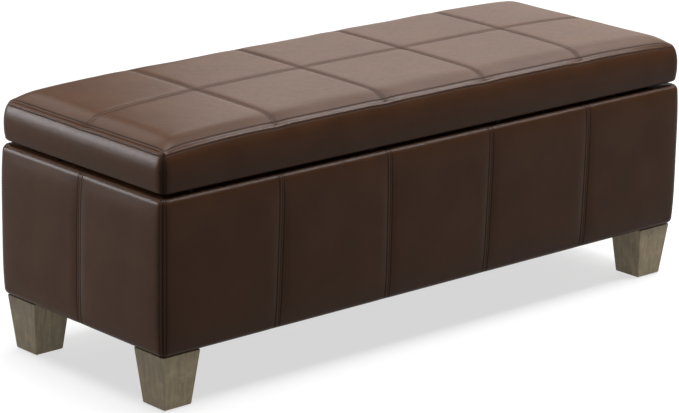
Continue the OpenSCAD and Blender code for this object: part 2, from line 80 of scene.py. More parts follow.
LID_X, LID_Y, _ = high_of("lid_cover_top")
LID_LOW = low_of("lid_band_front").z
LID_EDGE = low_of("lid_cover_top").z
LID_CROWN = high_of("lid_cover_top").z - LID_EDGE
LID_FOLD = LID_X - high_of("lid_underlining").x
BASE_X = high_of("base_cover_right").x
BASE_Y = high_of("base_cover_rear").y
BASE_LOW = low_of("base_cover_front").z
BASE_HIGH = high_of("base_cover_front").z
FOLD_LOW = high_of("wall_lining").z
COVER = BASE_HIGH - high_of("front_panel").z
WALL_INSIDE = BASE_X - high_of("wall_lining").x + COVER
WALL_OUTSIDE = BASE_X - high_of("right_end_panel").x
RAIL_INSIDE = BASE_Y - low_of("base_cover_rear").y

# ------------ camera

CAMERA_PLACE = Vector((-3.4616, -3.8253, 1.7312))
CAMERA_HEADING = math.radians(41.87)
CAMERA_DOWN = math.radians(16.61)
CAMERA_ROLL = math.radians(0.95)
CAMERA_LENS = 159.6
CAMERA_SENSOR = 36


def make_camera():
    data = bpy.data.cameras.new("camera")
    data.sensor_width = CAMERA_SENSOR
    data.lens = CAMERA_LENS
    camera = bpy.data.objects.new("camera", data)
    bpy.context.scene.collection.objects.link(camera)
    sine, cosine = math.sin(CAMERA_HEADING), math.cos(CAMERA_HEADING)
    forward = math.cos(CAMERA_DOWN)
    ahead = Vector((sine * forward, cosine * forward, -math.sin(CAMERA_DOWN)))
    level = Vector((cosine, -sine, 0))
    upward = level.cross(ahead)
    right = level * math.cos(CAMERA_ROLL) + upward * math.sin(CAMERA_ROLL)
    up = upward * math.cos(CAMERA_ROLL) - level * math.sin(CAMERA_ROLL)
    turned = Matrix((right, up, -ahead)).transposed().to_4x4()
    camera.matrix_world = Matrix.Translation(CAMERA_PLACE) @ turned
    bpy.context.scene.camera = camera


make_camera()
bpy.context.scene.view_settings.view_transform = "Standard"

# ------------ finishes


FINISHES = {}


class Finish:
    """A material: its shader, and the textures that feed it, with sizes in metres."""

    def __init__(self, name, **inputs):
        FINISHES[name] = material = bpy.data.materials.new(name)
        material.use_nodes = True
        self.tree = material.node_tree
        self.shader = self.tree.nodes["Principled BSDF"]
        self.place = self.node("ShaderNodeTexCoord").outputs["Object"]
        self.set(**inputs)

    def node(self, kind, inputs=None, **settings):
        """A new node. Each of its inputs is an output to link, or a value."""
        node = self.tree.nodes.new(kind)
        for name, value in settings.items():
            setattr(node, name, value)
        for name, value in (inputs or {}).items():
            self.feed(node, name, value)
        return node

    def feed(self, node, name, value):
        if isinstance(value, bpy.types.NodeSocket):
            self.tree.links.new(value, node.inputs[name])
        else:
            node.inputs[name].default_value = value

    def set(self, **inputs):
        """Shader inputs by name, written base_color for Base Color."""
        for socket in self.shader.inputs:
            name = socket.name.lower().replace(" ", "_")
            if name in inputs:
                self.feed(self.shader, socket.name, inputs[name])

    def spread(self, size, stretch):
        inputs = {"Vector": self.place, "Scale": tuple(1 / (size * s) for s in stretch)}
        return self.node("ShaderNodeMapping", inputs).outputs["Vector"]

    def noise(self, size, detail=2.0, rough=0.5, stretch=(1, 1, 1), bent=0.0):
        inputs = {"Vector": self.spread(size, stretch), "Scale": 1.0, "Detail": detail,
                  "Roughness": rough, "Distortion": bent}
        return self.node("ShaderNodeTexNoise", inputs).outputs["Fac"]

    def cells(self, size, feature="F1"):
        inputs = {"Vector": self.spread(size, (1, 1, 1)), "Scale": 1.0}
        return self.node("ShaderNodeTexVoronoi", inputs, feature=feature).outputs["Distance"]

    def painted(self, name):
        """A value stored at the mesh's points."""
        return self.node("ShaderNodeAttribute", attribute_name=name).outputs["Fac"]

    def ramp(self, value, *stops):
        """A colour by value, from (value, colour) stops."""
        node = self.node("ShaderNodeValToRGB", {"Fac": value})
        for point, (place, colour) in zip(node.color_ramp.elements, stops):
            point.position = place
            point.color = (*colour, 1)
        return node.outputs["Color"]

    def mixed(self, share, tone, colour):
        """The tone with a share of one colour over it."""
        inputs = {"Fac": share, "Color1": tone, "Color2": (*colour, 1)}
        return self.node("ShaderNodeMixRGB", inputs, blend_type="MIX").outputs["Color"]

    def sum(self, *parts):
        """Values added up, each (share, value)."""
        total = 0.0
        for share, value in parts:
            inputs = {0: value, 1: share, 2: total}
            total = self.node("ShaderNodeMath", inputs, operation="MULTIPLY_ADD").outputs[0]
        return total

    def scaled(self, value, low, high, from_low=0.0, from_high=1.0):
        inputs = {"Value": value, "From Min": from_low, "From Max": from_high,
                  "To Min": low, "To Max": high}
        return self.node("ShaderNodeMapRange", inputs).outputs["Result"]

    def bump(self, height, depth):
        inputs = {"Height": height, "Distance": depth, "Strength": 1.0}
        self.set(normal=self.node("ShaderNodeBump", inputs).outputs["Normal"])


def stretched_along(axis, amount):
    """A texture's stretch that draws it out along one axis."""
    return tuple(amount if name == axis else 1 for name in "xyz")


def leather_finish():
    """Smooth dark brown coated leather with a fine pebble, faint creases and a satin gloss. Painted
    shade darkens it, and it is duller, in the seams' creases and stitch rows; it is polished along
    the lid's edge."""
    made = Finish("faux_leather", specular_ior_level=0.065)
    cloudy = made.noise(70 * MM, detail=3)
    fine = made.noise(7 * MM, detail=3)
    tone = made.ramp(cloudy, (0.3, (0.0190, 0.0077, 0.0032)), (0.7, (0.0253, 0.0107, 0.0045)))
    tone = made.mixed(made.scaled(fine, 0.0, 0.3), tone, (0.019, 0.0076, 0.0032))
    # painted shade: the colour is drawn darker in the seams' creases and stitch rows, as if in
    # shadow
    shade = made.painted("seam_shade")
    pebble = made.cells(1.1 * MM, "SMOOTH_F1")
    pores = made.noise(0.5 * MM)
    creases = made.noise(9 * MM, detail=4, bent=1.5)
    swell = made.noise(28 * MM, detail=1)
    tone = made.mixed(made.scaled(pebble, 0.0, 0.4), tone, (0.015, 0.0056, 0.0024))
    even = made.scaled(made.sum((0.6, fine), (0.4, pores)), 0.27, 0.45)
    # the painted shade mixes the base colour towards near black
    made.set(base_color=made.mixed(shade, tone, (0.003, 0.0013, 0.0008)),
             roughness=made.sum((1, even), (0.6, shade), (-0.16, made.painted("seam_polish"))))
    made.bump(made.sum((0.12, pebble), (0.05, pores), (0.2, creases), (0.6, swell)), 0.5 * MM)


def thread_finish():
    made = Finish("sewing_thread", specular_ior_level=0.1)
    strand = made.noise(0.5 * MM)
    tone = made.ramp(strand, (0.3, (0.005, 0.0024, 0.0014)), (0.7, (0.010, 0.0046, 0.0024)))
    made.set(base_color=tone, roughness=made.scaled(strand, 0.55, 0.8))
    made.bump(strand, 0.15 * MM)


def wood_finish(name, dark, light, along, rough, worn=None):
    """Planed wood whose grain runs along one axis, with streaks, pores and a little wear."""
    made = Finish(name, specular_ior_level=0.4)
    streak, fibre = stretched_along(along, 12), stretched_along(along, 30)
    bands = made.noise(7 * MM, detail=4, rough=0.6, stretch=streak, bent=0.6)
    fibres = made.noise(0.9 * MM, detail=3, rough=0.6, stretch=fibre)
    clouds = made.noise(45 * MM, detail=2)
    grain = made.sum((0.6, bands), (0.25, fibres), (0.15, clouds))
    tone = made.ramp(grain, (0.36, dark), (0.64, light))
    if worn:
        rub = made.scaled(made.noise(16 * MM, detail=4, rough=0.7), 0, 0.7, 0.52, 0.72)
        tone = made.mixed(rub, tone, worn)
    made.set(base_color=tone, roughness=made.scaled(fibres, rough - 0.1, rough + 0.12))
    made.bump(made.sum((0.5, fibres), (0.5, bands)), 0.35 * MM)


def metal_finish(name, tone, rough, along="x", metallic=1.0):
    """Drawn or rolled metal with fine lines along one axis and faint handling marks."""
    made = Finish(name, metallic=metallic)
    lines = made.noise(0.25 * MM, detail=2, stretch=stretched_along(along, 40))
    marks = made.noise(14 * MM, detail=4, rough=0.65)
    darker = tuple(0.75 * value for value in tone)
    colour = made.ramp(made.sum((0.4, lines), (0.6, marks)), (0.35, darker), (0.65, tone))
    uneven = made.sum((0.5, lines), (0.5, marks))
    made.set(base_color=colour, roughness=made.scaled(uneven, rough - 0.08, rough + 0.12))
    made.bump(lines, 0.03 * MM)


def moulded_finish(name, tone, rough, grain, bump):
    """Moulded plastic or rubber with an even fine texture and slightly uneven gloss."""
    made = Finish(name, specular_ior_level=0.1)
    texture = made.cells(grain)
    marks = made.noise(18 * MM, detail=3)
    lighter = tuple(1.35 * value for value in tone)
    made.set(base_color=made.ramp(marks, (0.3, tone), (0.7, lighter)),
             roughness=made.scaled(marks, rough - 0.06, rough + 0.08))
    made.bump(texture, bump)


def lining_finish():
    """Black nonwoven polypropylene: matted fibres in a dimpled bond pattern."""
    made = Finish("lining_fabric", sheen_weight=0.25, sheen_roughness=0.5)
    fibres = made.noise(0.6 * MM, detail=5, rough=0.7, bent=3.0)
    dimples = made.cells(1.6 * MM)
    cloud = made.noise(30 * MM, detail=3)
    matted = made.sum((0.5, fibres), (0.3, cloud), (0.2, dimples))
    tone = made.ramp(matted, (0.3, (0.010, 0.010, 0.011)), (0.7, (0.036, 0.036, 0.039)))
    made.set(base_color=tone, roughness=made.scaled(fibres, 0.75, 0.95))
    made.bump(made.sum((0.6, fibres), (0.4, dimples)), 0.25 * MM)


def foam_finish():
    made = Finish("foam")
    cells = made.cells(0.9 * MM)
    cloud = made.noise(50 * MM)
    yellowed = made.sum((0.5, cells), (0.5, cloud))
    tone = made.ramp(yellowed, (0.2, (0.62, 0.52, 0.30)), (0.7, (0.85, 0.76, 0.50)))
    made.set(base_color=tone, roughness=made.scaled(cells, 0.85, 1.0))
    made.bump(cells, 0.4 * MM)


leather_finish()
foam_finish()
lining_finish()
wood_finish("board_wood", (0.36, 0.22, 0.11), (0.62, 0.44, 0.26), "x", 0.65)
wood_finish("leg_wood", (0.082, 0.061, 0.031), (0.170, 0.130, 0.070), "z", 0.5,
            worn=(0.20, 0.156, 0.090))
metal_finish("hinge_steel", (0.60, 0.59, 0.57), 0.36)
metal_finish("fastener_steel", (0.56, 0.55, 0.52), 0.32, "z")
metal_finish("stay_steel", (0.58, 0.58, 0.58), 0.38, "y")
metal_finish("stay_bracket_metal", (0.030, 0.030, 0.031), 0.42, "y", metallic=0.0)
moulded_finish("damper_plastic", (0.022, 0.022, 0.023), 0.48, 0.7 * MM, 0.05 * MM)
moulded_finish("glide_plastic", (0.055, 0.048, 0.042), 0.55, 0.8 * MM, 0.06 * MM)
moulded_finish("bumper_rubber", (0.006, 0.005, 0.005), 0.85, 0.5 * MM, 0.05 * MM)
thread_finish()

# ------------ sewing

COLUMNS = 5
COLUMN = 2 * LID_X / COLUMNS
CROSS_SEAMS = [(k - COLUMNS / 2) * COLUMN for k in range(1, COLUMNS)]

# Stitches
STITCH_ROW = 5 * MM         # from the seam to each row beside it
STITCH_PITCH = 5 * MM
STITCH_LENGTH = 3.9 * MM
THREAD_RADIUS = 0.6 * MM

# Rounding: upright corners, and edges in the walls' sections
LID_CORNER = 16 * MM
LID_ROUND = 8 * MM
BASE_CORNER = 14 * MM
BASE_FOOT = 11 * MM
BASE_ROUND = 12 * MM
RIM_ROUND = 2.5 * MM
RIM_CLEAR = 0.4 * MM        # the covers' mitre goes this much deeper than the rim's inner face
FLANGE = 26 * MM            # how far the box's cover turns in under the box
CORNER_RUN = 55 * MM        # length of wall beside a corner that is drawn together inside it

# The lid's cushion
LEAN = 8 * MM               # how far the bands lean in to the stitched edge
LEAN_FROM = 0.4             # share of the band's height where the lean begins
LEAN_POWER = 2.2
SHOULDER = 48 * MM
SHOULDER_POWER = 3
EXTRA_CROWN = 1.5 * MM
EDGE_LIFT = 2.5 * MM
END_DROP = 10 * MM          # the stitched edge is lower at both ends
END_DROP_RUN = 75 * MM
DIP_CROSS = 1.4 * MM        # dips of the edge where seams meet it
DIP_CENTRE = 0.8 * MM
DIP_WIDTH = 24 * MM
DIP_DEPTH = 25 * MM
LID_BELLY = 2 * MM
BELLY = 3.5 * MM

# How far hand sewing has moved the seams, read across from one corner to the other
DRIFT_MARGIN = 30 * MM
LID_DRIFT_AT = [-LID_X + DRIFT_MARGIN, *CROSS_SEAMS, LID_X - DRIFT_MARGIN]
LID_MIDDLE_DRIFT = np.array([0, 7, 3, -3, 2, 0]) * MM
LID_CENTRE_DRIFT = np.array([-7, 9, 12, 12, 12, 4]) * MM
LID_FRONT_DRIFT = np.array([0, 1, -1, -10, -14, 0]) * MM
BASE_TOP_DRIFT = np.array([0, 5, 2, 0, 0, 0]) * MM
BASE_FOOT_DRIFT = np.array([0, -3, 2, -8, -6, 0]) * MM
END_TOP_DRIFT = -6 * MM

# Grids
SEAM_STEPS = np.array([0, 0.5, 1.0, 1.7, 2.5, 3.4, 4.2, 5.0, 5.8, 6.8, 8.5, 12, 16, 21, 27]) * MM
LEAST_STEP = 0.2 * MM
PUCKER_LENGTHS = (9.0 * MM, 13.7 * MM, 23.0 * MM)


def bell(distance, width):
    return np.exp(-((distance / width) ** 2))


def beside(seams):
    """Grid lines close together on both sides of each seam."""
    return [s + side * d for s in seams for side in (-1, 1) for d in SEAM_STEPS]


def spaced(places, low, high):
    """The places from low to high in order, without those that are too close together."""
    kept = [low]
    for x in sorted(places):
        if kept[-1] + LEAST_STEP < x < high - LEAST_STEP:
            kept.append(x)
    return np.array(kept + [high])


def grid_lines(low, high, seams, step):
    """Grid lines from low to high: close together beside each seam, and a step apart elsewhere."""
    count = max(2, round((high - low) / step) + 1)
    clear = SEAM_STEPS[-1] + step / 2
    far = [x for x in np.linspace(low, high, count) if all(abs(x - s) > clear for s in seams)]
    return spaced(beside(seams) + far, low, high)


def waves(along, seed):
    """A smooth uneven wave between about -1 and 1 along a seam."""
    phases = np.random.default_rng(seed).uniform(0, 2 * math.pi, 3)
    parts = [np.sin(2 * math.pi * along / w + p) for w, p in zip(PUCKER_LENGTHS, phases)]
    return sum(parts) / 3


# Half widths in a seam's section, in mm, and the heights that all seams share
CREASE_WIDTH = 0.9
RIDGE_WIDTH = 1.5
GROOVE_WIDTH = 0.8
PUCKER_WIDTH = 4
RIDGE_HEIGHT = 0.15 * MM
PUCKER_HEIGHT = 0.15 * MM

# The kinds of seam: how deep its valley is and how far it spreads, how deep its crease and its
# stitches' grooves are, and how dark the painted shade makes the crease and the stitch rows
Seam = namedtuple("Seam", "valley spread crease groove dark_crease dark_rows")
LID_CENTRE_SEAM = Seam(0.05 * MM, 12 * MM, 0.18 * MM, 0.05 * MM, 0.4, 0.05)
LID_CROSS_SEAM = Seam(0.1 * MM, 12 * MM, 0.6 * MM, 0.25 * MM, 0.9, 0.45)
LID_EDGE_SEAM = Seam(0.1 * MM, 9 * MM, 0.15 * MM, 0.4 * MM, 0.2, 0.95)
LID_CORNER_SEAM = Seam(0.5 * MM, 9 * MM, 0.5 * MM, 0.28 * MM, 0.9, 0.8)
BASE_SEAM = Seam(0.4 * MM, 12 * MM, 0.25 * MM, 0.45 * MM, 0.25, 1.0)
BASE_CORNER_SEAM = Seam(0.5 * MM, 9 * MM, 0.5 * MM, 0.28 * MM, 0.95, 0.7)


def seam_relief(kind, distance, along, seed):
    """Height of the leather beside a double-stitched seam, by distance from the seam: a shallow
    valley, the crease, a low ridge, the stitches' groove and the puckers outside it."""
    mm, row = distance / MM, STITCH_ROW / MM
    relief = -kind.valley * bell(distance, kind.spread)
    relief -= kind.crease * bell(mm, CREASE_WIDTH)
    relief += RIDGE_HEIGHT * bell(mm - 0.5 * row, RIDGE_WIDTH)
    relief -= kind.groove * bell(mm - row, GROOVE_WIDTH)
    relief += PUCKER_HEIGHT * waves(along, seed) * bell(mm - row - PUCKER_WIDTH, PUCKER_WIDTH)
    return relief


def seam_shade(kind, distance):
    """Painted shade: how much darker the leather's colour is made in a seam's crease and in its
    stitch rows.
    """
    mm = distance / MM
    rows = kind.dark_rows * bell(mm - STITCH_ROW / MM, CREASE_WIDTH)
    return np.maximum(kind.dark_crease * bell(mm, CREASE_WIDTH), rows)


class Patch:
    """One sewn panel as a grid of points over two measures, a along it and b across it."""

    def __init__(self, a, b, points):
        self.a, self.b, self.points = a, b, points
        # shade is painted shade that darkens the colour in the seams; polish lowers the roughness at
        # the lid's edge
        self.shade = np.zeros(points.shape[:2])
        self.polish = np.zeros(points.shape[:2])

    def measures(self):
        """Both measures at every point."""
        return np.meshgrid(self.a, self.b, indexing="ij")

    def sewn(self, kind, distance, along, seed):
        """Paints shade into the leather's colour along a seam, and returns how high it stands there.
        """
        self.shade = np.maximum(self.shade, seam_shade(kind, distance))
        return seam_relief(kind, distance, along, seed)

    def move(self, outwards, directions=None):
        """Moves the points outwards, or in directions of their own."""
        directions = self.normals() if directions is None else directions
        self.points = self.points + directions * outwards[..., None]

    def normals(self):
        by_a = np.gradient(self.points, axis=0)
        by_b = np.gradient(self.points, axis=1)
        normals = np.cross(by_a, by_b)
        return normals / np.maximum(np.linalg.norm(normals, axis=2, keepdims=True), 1e-12)

    def at(self, a, b):
        """Points and normals on the surface at the measures a and b."""
        i = np.clip(np.searchsorted(self.a, a) - 1, 0, len(self.a) - 2)
        j = np.clip(np.searchsorted(self.b, b) - 1, 0, len(self.b) - 2)
        s = ((a - self.a[i]) / (self.a[i + 1] - self.a[i]))[:, None]
        t = ((b - self.b[j]) / (self.b[j + 1] - self.b[j]))[:, None]

        def mixed(grid):
            lower = grid[i, j] * (1 - s) + grid[i + 1, j] * s
            upper = grid[i, j + 1] * (1 - s) + grid[i + 1, j + 1] * s
            return lower * (1 - t) + upper * t

        normals = mixed(self.normals())
        return mixed(self.points), normals / np.linalg.norm(normals, axis=1, keepdims=True)


def spline_matrix(knots, places):
    """Takes values at the knots to a natural cubic spline's values at the places."""
    n = len(knots)
    gap = np.diff(knots)
    left = np.eye(n)
    right = np.zeros((n, n))
    for k in range(1, n - 1):
        left[k, k - 1:k + 2] = gap[k - 1], 2 * (gap[k - 1] + gap[k]), gap[k]
        right[k, k - 1:k + 2] = 6 / gap[k - 1], -6 / gap[k - 1] - 6 / gap[k], 6 / gap[k]
    bend = np.linalg.solve(left, right)
    out = np.zeros((len(places), n))
    for row, x in enumerate(places):
        k = int(np.clip(np.searchsorted(knots, x) - 1, 0, n - 2))
        t = (x - knots[k]) / gap[k]
        out[row, k] += 1 - t
        out[row, k + 1] += t
        before, after = (1 - t) ** 3 - (1 - t), t ** 3 - t
        out[row] += gap[k] ** 2 / 6 * (before * bend[k] + after * bend[k + 1])
    return out


# ------------ rest shapes

SIDES = {
    "front": ((1, 0), (0, -1)),
    "right": ((0, 1), (1, 0)),
    "rear": ((-1, 0), (0, 1)),
    "left": ((0, -1), (-1, 0)),
}


def is_long(side):
    return side in ("front", "rear")


def corner_measure(half, radius):
    """Measure along a wall, from its middle to the seam in the middle of its rounded corner."""
    return half - radius + radius * math.pi / 4


def around_corner(a, depth, half, radius, mitre):
    """Place along a wall, and distance inwards, of a point that lies a given depth inside it. The
    walls meet along a mitre that goes no deeper than the length mitre."""
    start, plain = half - CORNER_RUN, half - radius
    measure = np.abs(a)
    bend = np.maximum(radius - depth, 1e-6)
    straight = CORNER_RUN - np.maximum(radius, np.minimum(depth, mitre))
    share = np.clip((measure - start) / (corner_measure(half, radius) - start), 0, 1)
    even = share * (straight + bend * math.pi / 4)
    rounded = plain - start + (measure - plain) * bend / radius
    kept = np.where(measure < plain, measure - start, rounded)
    deep = np.clip(2 * depth / radius - 1, 0, 1)
    run = kept * (1 - deep) + even * deep
    turn = np.clip((run - straight) / bend, 0, math.pi / 4)
    beyond = start + np.minimum(run, straight) + bend * np.sin(turn)
    along = np.where(measure < start, measure, beyond)
    return np.sign(a) * along, depth + bend * (1 - np.cos(turn)), turn


def wall_points(side, a, depth, height, half_x, half_y, radius, mitre=1.0):
    """Points of a wall of a box with rounded corners, its a measured from the wall's middle."""
    half, far = (half_x, half_y) if is_long(side) else (half_y, half_x)
    along, inwards, turn = around_corner(a, depth, half, radius, mitre)
    (tx, ty), (nx, ny) = SIDES[side]
    x = along * tx + (far - inwards) * nx
    y = along * ty + (far - inwards) * ny
    return np.stack([x, y, height], axis=-1), turn


class Path:
    """A wall's section: straight runs and quarter arcs, as depth and height by length along it."""

    def __init__(self, depth, height):
        self.depth, self.height, self.pieces, self.length = depth, height, [], 0.0

    def run(self, depth, height):
        length = math.hypot(depth - self.depth, height - self.height)
        here = (self.depth, self.height)
        self.pieces.append(("run", self.length, length, here, (depth, height)))
        self.depth, self.height, self.length = depth, height, self.length + length
        return self

    def arc(self, centre, radius, start, end):
        length = radius * abs(end - start)
        self.pieces.append(("arc", self.length, length, centre, (radius, start, end)))
        self.depth = centre[0] + radius * math.cos(end)
        self.height = centre[1] + radius * math.sin(end)
        self.length += length
        return self

    def begins(self, number):
        """Length along the path where one of its pieces begins."""
        return self.pieces[number][1]

    def at(self, b):
        depth, height = np.zeros_like(b), np.zeros_like(b)
        for kind, begin, length, first, second in self.pieces:
            inside = (b >= begin - 1e-9) & (b <= begin + length + 1e-9)
            t = (b[inside] - begin) / length
            if kind == "run":
                depth[inside] = first[0] + t * (second[0] - first[0])
                height[inside] = first[1] + t * (second[1] - first[1])
            else:
                radius, start, end = second
                turn = start + t * (end - start)
                depth[inside] = first[0] + radius * np.cos(turn)
                height[inside] = first[1] + radius * np.sin(turn)
        return depth, height

    def lines(self, step, seams=()):
        """Measures along the path: every piece is divided, and an arc at least in three."""
        found = {0.0, self.length}
        for kind, begin, length, _, _ in self.pieces:
            if kind == "run":
                count = max(1, round(length / step))
            else:
                count = max(3, round(ARC_PARTS * 5 * MM / step))
            found.update(begin + length * k / count for k in range(count + 1))
        clear = [x for x in found if all(abs(x - s) > SEAM_STEPS[-1] for s in seams)]
        return spaced(clear + beside(seams), 0.0, self.length)


QUARTER = math.pi / 2
ARC_PARTS = 8               # parts of an arc where the step is 5 mm


def lid_path():
    """The lid's side: under the board (0), round its edge (1), and up to the stitched edge (2)."""
    path = Path(LID_FOLD, LID_LOW).run(LID_ROUND, LID_LOW)
    path.arc((LID_ROUND, LID_LOW + LID_ROUND), LID_ROUND, -QUARTER, -2 * QUARTER)
    return path.run(0, LID_EDGE)


def base_path(side):
    """The box's cover: under the box (0), round its foot (1), up the face (2), round the top (3),
    over the rim (4 and 5), down its inside (6) and in under it (7)."""
    rim = RAIL_INSIDE if side == "rear" else WALL_INSIDE
    path = Path(WALL_OUTSIDE + FLANGE, BASE_LOW).run(BASE_FOOT, BASE_LOW)
    path.arc((BASE_FOOT, BASE_LOW + BASE_FOOT), BASE_FOOT, -QUARTER, -2 * QUARTER)
    path.run(0, BASE_HIGH - BASE_ROUND)
    path.arc((BASE_ROUND, BASE_HIGH - BASE_ROUND), BASE_ROUND, 2 * QUARTER, QUARTER)
    path.run(rim - RIM_ROUND, BASE_HIGH)
    path.arc((rim - RIM_ROUND, BASE_HIGH - RIM_ROUND), RIM_ROUND, QUARTER, 0)
    return path.run(rim, FOLD_LOW).run(rim - COVER, FOLD_LOW)


def shoulder(distance):
    """How far the cushion has risen to its crown, from 0 at its edge to 1 past the shoulder."""
    return 1 - (1 - np.clip(distance / SHOULDER, 0, 1)) ** SHOULDER_POWER


TOP_X = LID_X - LEAN
TOP_Y = LID_Y - LEAN
TOP_CORNER = LID_CORNER - LEAN
TOP_SEAMS_X = [-TOP_X, *CROSS_SEAMS, TOP_X]
TOP_SEAMS_Y = [-TOP_Y, 0.0, TOP_Y]


def edge_height(u, v):
    """Height of the lid's stitched edge: it is low at both ends, and dips where seams meet it."""
    end, side = TOP_X - np.abs(u), TOP_Y - np.abs(v)
    height = LID_EDGE + EDGE_LIFT - END_DROP * np.exp(-end / END_DROP_RUN)
    for seam in CROSS_SEAMS:
        height -= DIP_CROSS * np.exp(-(((u - seam) / DIP_WIDTH) ** 2) - side / DIP_DEPTH)
    height -= DIP_CENTRE * np.exp(-((v / DIP_WIDTH) ** 2) - end / DIP_DEPTH)
    return height


def drift(along, places, offsets):
    """How far hand sewing has moved the panels sideways, between seams that moved by offsets."""
    return np.interp(along, [-1, *places, 1], [0, *offsets, 0])


def corner_share(values, half):
    """From 0 to 1 over the last part of the lid's top, where its corners are rounded."""
    return np.clip((np.abs(values) - half + TOP_CORNER) / TOP_CORNER, 0, 1)


def lid_top_over(u, v):
    """The cushion's top: a rectangle with its corners drawn in to quarter discs, and crowned."""
    across, up = np.meshgrid(u, v, indexing="ij")
    p, q = corner_share(across, TOP_X), corner_share(up, TOP_Y)
    x = np.abs(across) - TOP_CORNER * p * (1 - np.sqrt(1 - q * q / 2))
    y = np.abs(up) - TOP_CORNER * q * (1 - np.sqrt(1 - p * p / 2))
    crown = LID_CROWN + EXTRA_CROWN
    rise = crown * shoulder(TOP_X - np.abs(across)) * shoulder(TOP_Y - np.abs(up))
    height = edge_height(across, up) + rise
    middle = drift(across, LID_DRIFT_AT, LID_MIDDLE_DRIFT)
    front = drift(across, LID_DRIFT_AT, LID_FRONT_DRIFT)
    moved = middle + (front - middle) * np.clip(-up / TOP_Y, 0, 1) ** 2
    moved *= 1 - np.clip(up / TOP_Y, 0, 1) ** 8
    centre = np.interp(across, TOP_SEAMS_X, LID_CENTRE_DRIFT)
    centre = centre * (1 - np.abs(up) / TOP_Y)
    points = [np.sign(across) * x + moved, np.sign(up) * y + centre, height]
    return Patch(u, v, np.stack(points, axis=-1))


def lid_band_over(side, a, b):
    """The lid's side: it leans in towards the stitched edge, bulges, and turns under the board."""
    path = lid_path()
    along, length = np.meshgrid(a, b, indexing="ij")
    depth, height = path.at(length)
    foot = LID_LOW + LID_ROUND
    upright = np.clip((height - foot) / (LID_EDGE - foot), 0, 1)
    lean = LEAN * np.clip((upright - LEAN_FROM) / (1 - LEAN_FROM), 0, 1) ** LEAN_POWER
    points, turn = wall_points(side, along, depth + lean, height, LID_X, LID_Y, LID_CORNER)
    if side == "front":
        points[..., 0] += drift(along, LID_DRIFT_AT, LID_FRONT_DRIFT) * upright
    half = TOP_X if is_long(side) else TOP_Y
    plain = half - TOP_CORNER
    bend = TOP_CORNER * math.sqrt(2) * np.sin(turn)
    reach = np.where(turn > 0, plain + bend, np.minimum(np.abs(along), plain))
    edge = edge_height(reach, TOP_Y) if is_long(side) else edge_height(TOP_X, reach)
    points[..., 2] = height + upright * (edge - LID_EDGE)
    patch = Patch(a, b, points)
    patch.move(LID_BELLY * (1 - (2 * upright - 1) ** 4) * (height > foot))
    return patch


def base_seams(side):
    """Places of a base wall's upright seams, from its middle."""
    return {"front": CROSS_SEAMS, "rear": [], "left": [0.0], "right": [0.0]}[side]


def base_wall_over(side, a, b):
    """A wall of the box's cover, from under the box up over its face and rim to the inside."""
    along, length = np.meshgrid(a, b, indexing="ij")
    depth, height = base_path(side).at(length)
    mitre = np.where(height > (BASE_LOW + BASE_HIGH) / 2, WALL_INSIDE + RIM_CLEAR, 1.0)
    points, _ = wall_points(side, along, depth, height, BASE_X, BASE_Y, BASE_CORNER, mitre)
    share = np.clip((height - BASE_LOW) / (BASE_HIGH - BASE_LOW), 0, 1)
    if side == "front":
        foot = drift(along, LID_DRIFT_AT, BASE_FOOT_DRIFT)
        top = drift(along, LID_DRIFT_AT, BASE_TOP_DRIFT)
        points[..., 0] += foot + (top - foot) * share
    if side == "left":
        places = [-BASE_Y + DRIFT_MARGIN, 0, BASE_Y - DRIFT_MARGIN]
        points[..., 1] += drift(along, places, [0, -END_TOP_DRIFT, 0]) * -share
    patch = Patch(a, b, points)
    outside = (depth < BASE_ROUND) & (share > 0)
    kept = np.where(outside, 1 - (depth / BASE_ROUND) ** 2, 0)
    patch.move(BELLY * (1 - (2 * share - 1) ** 4) * kept)
    return patch


# ------------ meshes


def new_object(name, mesh, *materials):
    piece = bpy.data.objects.new(name, mesh)
    bpy.context.scene.collection.objects.link(piece)
    for material in materials:
        mesh.materials.append(material)
    return piece


def mesh_of(name, verts, faces, smooth=True):
    mesh = bpy.data.meshes.new(name)
    points = [tuple(map(float, v)) for v in verts]
    mesh.from_pydata(points, [], [tuple(map(int, f)) for f in faces])
    mesh.polygons.foreach_set("use_smooth", [smooth] * len(mesh.polygons))
    mesh.update()
    return mesh


def grid_faces(rows, columns, start=0):
    i, j = np.meshgrid(np.arange(rows - 1), np.arange(columns - 1), indexing="ij")
    first = (start + i * columns + j).ravel()
    return np.stack([first, first + columns, first + columns + 1, first + 1], axis=1)


def mesh_of_patches(name, patches, weld=None):
    """One mesh from several patches; points closer than weld become one."""
    verts, faces, count = [], [], 0
    for patch in patches:
        rows, columns = patch.points.shape[:2]
        verts.append(patch.points.reshape(-1, 3))
        faces.append(grid_faces(rows, columns, count))
        count += rows * columns
    mesh = mesh_of(name, np.concatenate(verts), np.concatenate(faces))
    # the painted shade and the polish are stored at the points for the leather finish
    for paint in ("shade", "polish"):
        values = np.concatenate([getattr(patch, paint).ravel() for patch in patches])
        mesh.attributes.new(f"seam_{paint}", "FLOAT", "POINT").data.foreach_set("value", values)
    if weld:
        work = bmesh.new()
        work.from_mesh(mesh)
        bmesh.ops.remove_doubles(work, verts=work.verts, dist=weld)
        work.to_mesh(mesh)
        work.free()
    return mesh


# ------------ cloth


def welded(patches):
    """All the patches' points as one list with shared points once, and each patch's indices."""
    points = np.concatenate([p.points.reshape(-1, 3) for p in patches])
    keys = np.round(points / (0.4 * MM)).astype(np.int64)
    _, first, index = np.unique(keys, axis=0, return_index=True, return_inverse=True)
    index = index.reshape(-1)
    ends = np.cumsum([patch.shade.size for patch in patches])[:-1]
    parts = zip(np.split(index, ends), patches)
    return points[first], [part.reshape(patch.shade.shape) for part, patch in parts]


CLOTH = {
    "quality": 6,
    "mass": 0.25,
    "tension_stiffness": 12,
    "compression_stiffness": 12,
    "shear_stiffness": 4,
    "bending_stiffness": 6,
    "air_damping": 4,
    "use_pressure": True,
    "uniform_pressure_force": 5,
}
CLOTH_FRAMES = 20


